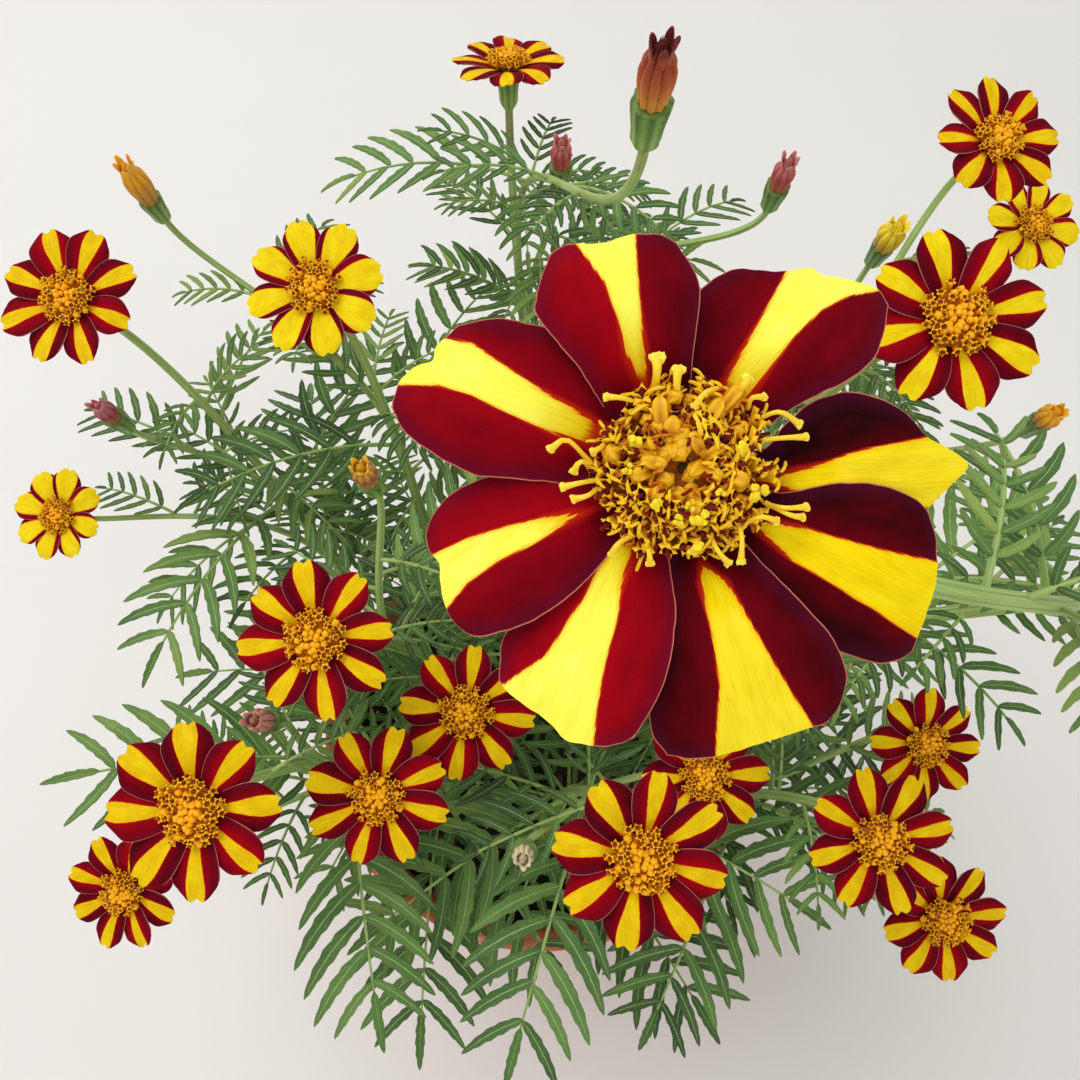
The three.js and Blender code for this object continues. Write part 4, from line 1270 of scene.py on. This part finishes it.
def make_rays(head, seed, finishes):
    """A bloom's ray petals on the knob that they grow from."""
    bm = new_shape()
    across = head.across
    if head.name == "main":
        for petal in MAIN_PETALS:
            add_main_petal(bm, petal, across)
    else:
        draw = draws(seed)
        start = next(draw) * math.pi
        for i in range(PETALS):
            lean = 0.09 * (next(draw) - 0.5)
            length = across * (PETAL_LENGTH + 0.03 * (next(draw) - 0.5))
            chance = (i * 0.618 + seed * 0.37) % 1
            add_small_petal(bm, head, start + i * 2 * math.pi / PETALS, length, lean, chance)
    thicken(bm, PETAL_THICKNESS, back=1)
    foot = (HUB_FOOT if head.name == "main" else ARCH_FOOT) * across - 0.1
    knob = new_shape()
    radius = KNOB_RADIUS * across
    turned(knob, [(0, foot), (radius * 0.7, foot), (radius, foot * 0.4), (radius * 1.1, 0.2), (0, 0.5)], 20)
    add_part(bm, knob, 2)
    bm.transform(head.matrix)
    piece(f"petals_{head.name}", bm, finishes, "petals", f"rays_{head.name}")


# Discs of florets

def floret_shape(height, foot, mouth, lobe):
    """A tube floret: five lobes that bend back round a dark hollow mouth."""
    bm = new_shape()
    form, _ = layers(bm)
    bmesh.ops.create_cone(bm, cap_ends=True, segments=10, radius1=foot, radius2=mouth, depth=height,
                          matrix=Matrix.Translation((0, 0, height / 2)))
    cut_uprights(bm, height / 2, 1)
    for corner in bm.verts:
        if 0.1 < corner.co.z / height < 0.9:
            corner.co.z = height * 0.72
    top = max(bm.faces, key=lambda face: face.calc_center_median().z)
    rim = list(top.verts)
    bmesh.ops.inset_individual(bm, faces=[top], thickness=mouth * 0.22)
    lip = list(top.verts)
    throat = bmesh.ops.inset_individual(bm, faces=[top], thickness=mouth * 0.2)["faces"]
    bmesh.ops.translate(bm, verts=list(top.verts), vec=(0, 0, -height * 0.3))
    for face in [top, *throat]:
        face.material_index = ANTHER
    for corner in rim + lip:
        point = 0.5 + 0.5 * math.sin(5 * math.atan2(corner.co.y, corner.co.x))
        out = 1 if corner in rim else 0.25
        corner.co.xy *= 1 + lobe * out * (point - 0.2)
        corner.co.z += mouth * (0.25 * point - 0.45 * out * point - 0.25 * (1 - point))
    for corner in bm.verts:
        corner[form] = (clamp((corner.co.z / height - 0.35) * 1.6), 0, 0.5)
    return to_mesh(bm)


def bud_floret_shape(height, radius, bend, finish=0):
    """A closed floret: a small tube that bends over, folded to a five-ribbed point."""
    bm = new_shape()
    places = [Vector((bend * height * share ** 2.2, 0, height * (share - 0.25 * bend * share ** 3)))
              for share in (0, 0.5, 0.74, 0.88, 0.97, 1.02)]
    radii = [radius * size for size in (0.7, 0.95, 1.02, 0.88, 0.52, 0.1)]
    tube(bm, places, radii, 10, ribs=0.11, finish=finish)
    form, _ = layers(bm)
    for corner in bm.verts:
        corner[form] = (clamp(corner.co.z / height + corner[form].y * 0.3), 0, 0.5)
    return to_mesh(bm)


def leaning(radius, height, around, lean, size=1.0):
    """A place on a dome: out from the middle, leaning outwards, turned round it."""
    return (Matrix.Rotation(around, 4, "Z") @ Matrix.Translation((radius, 0, height))
            @ Matrix.Rotation(lean, 4, "Y") @ Matrix.Scale(size, 4))


def disc_sizes(across):
    """A disc's radius, rise and foot."""
    return DISC_RADIUS * across, DISC_RISE * across, DISC_FOOT * across + FIT_GAP + 0.15


def add_dome(bm, radius, foot, rise):
    """The swollen middle that the florets stand on."""
    dome = new_shape()
    side = [(radius, foot + rise * 0.35), (radius * 0.9, foot + rise * 0.6)]
    top = [(radius * share, foot + rise * (1 - share * share * 0.6)) for share in (0.7, 0.45, 0.2)]
    turned(dome, [(0, foot), (radius * 0.75, foot), *side, *top, (0, foot + rise * 0.8)], 28)
    for corner in dome.verts:
        corner.co += 0.25 * noise(corner.co * 1.3) * Vector((1, 1, 1))
    add_part(bm, dome, CORE)


def make_small_disc(head, seed, finishes, opened, closed):
    """A smaller bloom's dome: open florets outside, closed ones in the middle, round a shallow dimple."""
    bm = new_shape()
    radius, rise, foot = disc_sizes(head.across)
    draw = draws(seed + SMALL_DISC_SEED)
    add_dome(bm, radius * 0.9, foot, rise * 0.8)
    scale = head.across / 40
    for i in range(SMALL_FLORETS):
        share = math.sqrt((i + 1.4) / (SMALL_FLORETS + 1))
        dimple = 0.5 * math.exp(-(share * 4) ** 2)
        height = foot + rise * (0.75 - share * share * 0.55) + scale * (0.5 * next(draw) - 1.1 - dimple)
        lean = 0.8 * share ** 2 + 0.35 * (next(draw) - 0.5)
        shape = closed[i % 2] if share < 0.52 or next(draw) < 0.18 else opened[i % 3]
        size = scale * (0.92 + 0.24 * share) * (0.88 + 0.24 * next(draw))
        turn = Matrix.Rotation(math.pi + 2 * (next(draw) - 0.5), 4, "Z")
        around = i * GOLDEN_TURN + 0.3 * (next(draw) - 0.5)
        add_copy(bm, shape, leaning(radius * share * 0.9, height, around, lean, size) @ turn)
    bm.transform(head.matrix)
    piece(f"florets_{head.name}", bm, finishes, "florets", f"disc_{head.name}")


def add_curl(bm, place, length, bend, radius, finish, aside):
    """A thread that curls over towards a side, such as a style's arm or a withered anther."""
    reach = length / bend
    places = []
    for i in range(7):
        out, up = reach * (1 - math.cos(bend * i / 6)), reach * math.sin(bend * i / 6)
        places.append(place @ polar(out, aside, up))
    tube(bm, places, [radius * size for size in (1, 1, 1, 1, 1.05, 1.1, 0.7)], 5, finish=finish, height=0.6)


def add_lump(bm, middle, size, finish, rough, arm=None, stretch=1.0):
    """A rough rounded lump, longer along an arm if there is one."""
    lump = new_shape()
    form, _ = layers(lump)
    bmesh.ops.create_icosphere(lump, subdivisions=2, radius=1)
    for corner in lump.verts:
        shape = corner.co * (1 + rough * noise(corner.co * 2.3 + middle))
        if arm:
            shape += arm * (shape.dot(arm) * (stretch - 1))
        corner[form] = (0.85, 0, 0.7)
        corner.co = middle + shape * size
    add_part(bm, lump, finish)


def add_pollen(bm, middle, size, draw):
    """Grains of bright pollen stuck together."""
    for _ in range(5):
        offset = Vector((next(draw) - 0.5, next(draw) - 0.5, 0.6 * (next(draw) - 0.5)))
        add_lump(bm, middle + offset * size, size * (0.26 + 0.14 * next(draw)), POLLEN, 0.5)


def add_style(bm, foot, bend, tip, size, draw):
    """A long style with a rough two-lobed club."""
    route = through([foot, bend, tip])
    places = [route.at(i / 8) for i in range(9)]
    radii = [size * radius for radius in (0.25, 0.23, 0.21, 0.2, 0.2, 0.21, 0.23, 0.28, 0.33)]
    tube(bm, places, radii, 8, finish=STYLE, height=0.75)
    way = (places[-1] - places[-2]).normalized()
    side = way.cross(UP).normalized()
    for lobe in (-1, 0, 1):
        middle = tip + side * (0.14 * lobe * size) + way * (0.1 * (next(draw) - 0.5))
        arm = (side * (lobe * 0.5) + way).normalized()
        add_lump(bm, middle, size * (0.22 + 0.07 * next(draw)), STYLE, 0.45, arm, 1.35)


def add_floret(bm, shape, place, draw):
    """An open floret with its dark anthers and the two curled arms of its style."""
    add_copy(bm, shape, place)
    mouth = place @ Matrix.Translation((0, 0, 1.9))
    aside = next(draw) * 2 * math.pi
    add_curl(bm, mouth, 1.0 + 0.4 * next(draw), 0.3 + 0.5 * next(draw), 0.19, ANTHER, aside + 1.5)
    if next(draw) < 0.66:
        long = 1.7 + 0.6 * next(draw)
        for arm in range(2):
            add_curl(bm, mouth, long, 1.7 + 1.1 * next(draw), 0.15, STYLE, aside + math.pi * arm)


def make_main_disc(head, finishes):
    """The large bloom's dome: closed florets round a dimple, open ones with dark anthers, long styles."""
    bm = new_shape()
    radius, rise, foot = disc_sizes(head.across)
    draw = draws(MAIN_DISC_SEED)

    def top(share):
        return foot + rise * (0.95 - share * share * 0.55)

    def seen(pixel, height):
        return raised(from_photo(pixel), height)

    middle = Matrix.Translation((*seen(DISC_PIXEL, top(0)).xy, 0))
    core = new_shape()
    add_dome(core, radius * 0.8, foot, rise * 0.7)
    core.transform(middle)
    add_part(bm, core)
    add_lump(bm, seen(DIMPLE_PIXEL, top(0) - DIMPLE_DEPTH), DIMPLE_SIZE, DIMPLE, 0.5)
    opened = [floret_shape(*sizes) for sizes in ((2.6, 0.34, 0.56, 0.75), (2.8, 0.36, 0.6, 0.9),
                                                 (2.4, 0.36, 0.52, 0.7))]
    closed = [bud_floret_shape(*sizes, CLOSED) for sizes in ((2.6, 0.68, 0.3), (2.3, 0.76, 0.18),
                                                             (2.8, 0.62, 0.5))]
    for i in range(MAIN_FLORETS):
        share = math.sqrt((i + 3.2) / (MAIN_FLORETS + 3))
        around = i * GOLDEN_TURN + 0.25 * (next(draw) - 0.5)
        lean = 0.85 * share ** 1.6 + 0.35 * (next(draw) - 0.5)
        dimple = 1.3 * math.exp(-(share * 3.6) ** 2)
        height = top(share) - FLORET_SUNK * math.cos(lean) + 0.7 * (next(draw) - 0.5) - dimple
        size = 0.88 + 0.3 * next(draw)
        turn = Matrix.Rotation(math.pi + 1.6 * (next(draw) - 0.5), 4, "Z")
        place = middle @ leaning(radius * share * 0.7, height, around, lean, size) @ turn
        smooth = 0.1 + 0.55 * max(math.cos(around - 1.75), 0) * (share < 0.85)
        if share < 0.4 or next(draw) < smooth:
            add_copy(bm, closed[i % 3], place)
        else:
            flat = Matrix.Diagonal((0.75 + 0.35 * next(draw), 1.1, 1, 1))
            add_floret(bm, opened[i % 3], place @ flat, draw)
    for i in range(MAIN_THREADS):
        share = mix(0.3, 1.0, next(draw) ** 0.8)
        lean = 1.3 * share * next(draw)
        place = middle @ leaning(radius * share * 0.9, top(share) - 0.3, i * GOLDEN_TURN * 1.7, lean)
        thick, finish = (0.12, THREAD) if i % 3 else (0.16, ANTHER)
        long = 0.9 + 0.7 * next(draw)
        add_curl(bm, place, long, 1.6 + 2.2 * next(draw), thick, finish, next(draw) * 6.3)
    for i, (pixel, size, lean, way) in enumerate(SMOOTH_FLORETS):
        turn = leaning(0, 0, math.radians(way), lean, size)
        place = Matrix.Translation(seen(pixel, top(0.4) + 0.3)) @ turn @ Matrix.Translation((0, 0, -2.2))
        add_copy(bm, closed[i % 3], place)
    for pixel, size in POLLEN_LUMPS:
        add_pollen(bm, seen(pixel, top(0.5) + 0.7), size * 0.72, draw)
    for pixels in MAIN_STYLES:
        points = [seen(pixel, foot + rise * level) for pixel, level in zip(pixels, (0.45, 0.95, 0.8))]
        add_style(bm, *points, 1.0 if len(pixels) == 3 else pixels[3], draw)
    bm.transform(head.matrix)
    piece("florets_main", bm, finishes, "florets", "disc_main")


# Buds and spent heads

def make_bud(head, seed, finish):
    """Petals folded together above the cup, in twisted pleats that part at the tip."""
    bm = ringed(16, 54)
    form, _ = layers(bm)
    draw = draws(seed + BUD_SEED)
    spread = BUD_SPREADS.get(head.look, BUD_SPREAD)
    for corner in bm.verts:
        share = corner.co.z + 0.5
        angle = math.atan2(corner.co.y, corner.co.x) + 0.7 * share
        fold = abs(math.sin(BUD_PLEATS / 2 * angle))
        swell = mix(0.82, 1.0, ease(0, 0.4, share)) * (1 - 0.82 * ease(0.5, 1.0, share) ** 1.2)
        radius = BUD_RADIUS * swell * spread * (0.8 + 0.26 * fold ** 0.6)
        height = FIT_GAP + (head.length - FIT_GAP) * share * (0.93 + 0.07 * fold)
        corner[form] = (share, fold, next(draw))
        corner.co = polar(radius, angle, height)
    for i in range(BUD_TIPS):
        around = i * GOLDEN_TURN
        base = head.length * (0.62 + 0.1 * next(draw))
        flare = 0.5 + 0.7 * next(draw)
        long = head.length * (0.3 + 0.1 * next(draw))

        def shape(side, along):
            half = 0.5 + math.sin(math.pi * min(along * 0.9 + 0.08, 1))
            out = BUD_RADIUS * spread * 0.62 + flare * along ** 2 * 1.2 - 0.5 * along
            turn = around + side * half / BUD_RADIUS
            height = base + long * along - 0.4 * side ** 2 * along
            return polar(out, turn, height), (0.5 + 0.5 * along, 0.8, 0.5), (0, 0, 0)

        petal = new_shape()
        sheet(petal, 4, 6, shape)
        thicken(petal, 0.3)
        add_part(bm, petal)
    bm.transform(head.matrix)
    piece(f"folded_{head.name}", bm, [finish], "buds", f"bud_{head.name}")


# Pot and soil

def make_pot(finish):
    """A thrown clay pot with a collar, softened edges and three drain holes."""
    bm = new_shape()
    collar = POT_HEIGHT - COLLAR_HEIGHT
    body_top = POT_RIM_RADIUS - COLLAR_STEP * 2
    profile = [
        (0, 0), (POT_BASE_RADIUS - 1, 0), (body_top - 0.4, collar - 1), (body_top + 0.2, collar),
        (body_top + COLLAR_STEP, collar), (POT_RIM_RADIUS, POT_HEIGHT - 2),
        (POT_RIM_RADIUS - 1.5, POT_HEIGHT), (inner_radius(POT_HEIGHT) + 1.5, POT_HEIGHT),
        (inner_radius(POT_HEIGHT - 2), POT_HEIGHT - 2),
        (inner_radius(POT_FLOOR), POT_FLOOR), (0, POT_FLOOR),
    ]
    turned(bm, profile, POT_SIDES)
    bm.normal_update()
    rings = [edge for edge in bm.edges
             if rise_of(edge) < 1e-4 and edge.calc_face_angle(0) > math.radians(20)
             and edge.verts[0].co.xy.length > 10]
    bmesh.ops.bevel(bm, geom=rings, offset=POT_SOFTENING, offset_type="OFFSET", affect="EDGES",
                    segments=3, profile=0.5, material=-1)
    cut_uprights(bm, 15, 24)
    for corner in bm.verts:
        out = corner.co.xy.length
        if out > 12 and corner.co.z > 0.5:
            line = 0.16 * math.sin(corner.co.z * 1.1) * math.sin(corner.co.z * 0.37 + 1)
            dent = 0.35 * noise(corner.co * 0.035) + 0.1 * noise(corner.co * 0.2)
            corner.co.xy *= 1 + (line + dent) / out
    pot = piece("clay_pot", bm, [finish], "clay", "pot", crease=35)
    drill = new_shape()
    for i in range(DRAIN_HOLES):
        angle = i / DRAIN_HOLES * 2 * math.pi + math.pi / 2
        place = Matrix.Translation(polar(DRAIN_CIRCLE, angle, POT_FLOOR / 2))
        bmesh.ops.create_cone(drill, cap_ends=True, segments=32, radius1=DRAIN_RADIUS, radius2=DRAIN_RADIUS,
                              depth=POT_FLOOR * 2, matrix=place)
    drill.transform(Matrix.Scale(MM, 4))
    cutter = add_object("drill", to_mesh(drill))
    cut = pot.modifiers.new("holes", "BOOLEAN")
    cut.operation = "DIFFERENCE"
    cut.solver = "EXACT"
    cut.object = cutter
    drilled = bpy.data.meshes.new_from_object(pot.evaluated_get(bpy.context.evaluated_depsgraph_get()))
    pot.modifiers.clear()
    pot.data = drilled
    bpy.data.objects.remove(cutter)


def soil_height(x, y):
    """The mounded, crumbly top of the soil."""
    edge = inner_radius(SOIL_TOP) - FIT_GAP
    share = min(math.hypot(x, y) / edge, 1)
    place = Vector((x, y, 0))
    crumbs = 1.6 * noise(place * 0.07) + 0.9 * noise(place * 0.21) + 0.5 * noise(place * 0.55)
    return SOIL_TOP + SOIL_MOUND * (1 - share ** 2) + crumbs * (1 - 0.7 * share ** 6)


def crumb_shape(seed, flat):
    """A rough lump with a few dozen faces."""
    bm = new_shape()
    bmesh.ops.create_uvsphere(bm, u_segments=7, v_segments=5, radius=1)
    for corner in bm.verts:
        corner.co *= 1 + 0.35 * noise(corner.co * 1.6 + Vector((seed * 7.3, 0, 0)))
        corner.co.z *= flat
    return to_mesh(bm)


def scatter(bm, shapes, count, sizes, finish, seed, rise):
    """Lumps strewn over the soil by seeded draws."""
    draw = draws(seed)
    edge = inner_radius(SOIL_TOP) - 3
    for shape in shapes:
        shape.polygons.foreach_set("material_index", [finish] * len(shape.polygons))
    for i in range(count):
        out = edge * math.sqrt(next(draw))
        around = next(draw) * 2 * math.pi
        x, y = out * math.cos(around), out * math.sin(around)
        size = mix(*sizes, next(draw) ** 2)
        turn = Matrix.Rotation(next(draw) * 6, 4, "Z") @ Matrix.Rotation(next(draw) * 1.2, 4, "X")
        lift = Matrix.Translation((x, y, soil_height(x, y) + size * rise))
        add_copy(bm, shapes[i % len(shapes)], lift @ turn @ Matrix.Scale(size, 4))


def make_soil(finishes):
    """Potting soil that fills the pot, mounded and crumbly on top, with crumbs, bark and white grit."""
    bm = new_shape()
    edge = inner_radius(SOIL_TOP) - FIT_GAP
    floor = POT_FLOOR + FIT_GAP
    tops = [(edge * (1 - i / SOIL_RINGS), SOIL_TOP) for i in range(SOIL_RINGS + 1)]
    turned(bm, [(0, floor), (inner_radius(floor) - FIT_GAP, floor), *tops], SOIL_SIDES)
    for corner in bm.verts:
        if corner.co.z > SOIL_TOP - 1:
            corner.co.z = soil_height(corner.co.x, corner.co.y)
    for shapes, *rest in SOIL_LUMPS:
        scatter(bm, [crumb_shape(*shape) for shape in shapes], *rest)
    piece("potting_soil", bm, finishes, "soil", "soil")


# Floor, light and camera

def make_studio():
    """A plain pale floor that turns up far away, a large soft light from above and a weaker one in front."""
    bm = new_shape()
    cove = [(FLOOR_RADIUS + COVE_RADIUS * math.sin(turn), COVE_RADIUS - COVE_RADIUS * math.cos(turn))
            for turn in (i * math.pi / 16 for i in range(1, 9))]
    turned(bm, [(0, 0), (FLOOR_RADIUS, 0), *cove, (FLOOR_RADIUS + COVE_RADIUS, WALL_HEIGHT)], 64)
    if min(bm.faces, key=lambda face: face.calc_center_median().z).normal.z < 0:
        bmesh.ops.reverse_faces(bm, faces=bm.faces[:])
    floor = add_object("floor", to_mesh(bm))
    floor.data.materials.append(floor_finish())
    floor.data.materials[0].cycles.emission_sampling = "NONE"
    floor.data.polygons.foreach_set("use_smooth", [True] * len(floor.data.polygons))
    for name, (place, size, power) in LIGHTS.items():
        light = bpy.data.lights.new(name, "AREA")
        light.size = size
        light.energy = power
        lamp = add_object(name, light)
        lamp.location = place
        lamp.rotation_euler = (Vector((0, 0, 0.25)) - Vector(place)).to_track_quat("-Z", "Y").to_euler()
    world = bpy.data.worlds.new("studio")
    world.use_nodes = True
    sky = world.node_tree.nodes["Background"].inputs
    sky["Color"].default_value = (0.95, 0.97, 1, 1)
    sky["Strength"].default_value = 0.42
    scene.world = world
    scene.view_settings.view_transform = "Standard"


def make_camera():
    """The photograph's view: close above and in front of the large bloom, looking down at 60 degrees."""
    lens = bpy.data.cameras.new("camera")
    lens.sensor_fit = "HORIZONTAL"
    lens.angle = VIEW_ANGLE
    lens.clip_start = 0.005
    camera = add_object("camera", lens)
    camera.location = EYE * MM
    camera.rotation_euler = (VIEW_TURN, 0, 0)
    scene.camera = camera


def make_plant():
    stem_finishes = [stem_finish(), leaf_finish(), cup_finish()]
    for seed, (name, shoots, leaves) in enumerate(grow_plant()):
        make_stem(name, shoots, leaves, seed + 1, stem_finishes)
    knob = grain_finish("green_knob", "6d8a3c", "93ac58")
    back = petal_finish("petal_back", faded=0.35)
    main_petals = [petal_finish("striped_petal"), back, knob]
    # Painted shade: the shaded smaller blooms take the darker yellow for their stripes
    small_petals = [petal_finish("shaded_gold_petal", pale=SHADED_GOLD, rich=SHADED_GOLD), back, knob]
    bright_petals = [petal_finish("bright_petal", pale=BRIGHT_GOLD, rich=BRIGHT_GOLD), back, knob]
    small_disc = [
        floret_finish("orange_floret", "bc6a04", "f09e06", "f8bc10"),
        grain_finish("orange_core", "8a3a06", "c8780a"),
        grain_finish("brown_throat", "a04c06", "cc7c0a"),
    ]
    main_disc = [
        floret_finish("golden_floret", "a84a04", "e69a0a", "fccc1e"),
        grain_finish("brown_core", "6c3006", "a05a08"),
        grain_finish("dark_anther", "5c0804", "9a220a"),
        floret_finish("yellow_style", "dc9c10", "f8c81e", "ffee5c"),
        grain_finish("orange_thread", "bc5a08", "eca01c"),
        grain_finish("bright_pollen", "f2cc1a", "fcec3c"),
        floret_finish("closed_floret", "8e4a04", "d48e0a", "ecb818"),
        grain_finish("olive_dimple", "2c1c04", "5a4408"),
    ]
    opened = [floret_shape(*sizes) for sizes in ((2.6, 0.4, 0.66, 0.75), (2.9, 0.42, 0.62, 0.9),
                                                 (2.4, 0.38, 0.7, 0.65))]
    closed = [bud_floret_shape(*sizes) for sizes in ((2.2, 0.8, 0.25), (2.4, 0.72, 0.4))]
    buds = {look: bud_finish(f"{look}_bud", *colours) for look, colours in BUD_COLOURS.items()}
    for order, head in enumerate(HEADS):
        seed = order + 1
        if head.name == "main":
            make_rays(head, seed, main_petals)
            make_main_disc(head, main_disc)
        elif head.across:
            make_rays(head, seed, bright_petals if head.look in ("bright", "yellow") else small_petals)
            make_small_disc(head, seed, small_disc, opened, closed)
        else:
            make_bud(head, seed, buds[head.look])


make_camera()
make_studio()
make_pot(clay_finish())
make_soil([soil_finish(), grain_finish("bark", "3a2416", "6e4a2c"),
           grain_finish("white_grit", "b9b4a6", "e8e4da")])
make_plant()
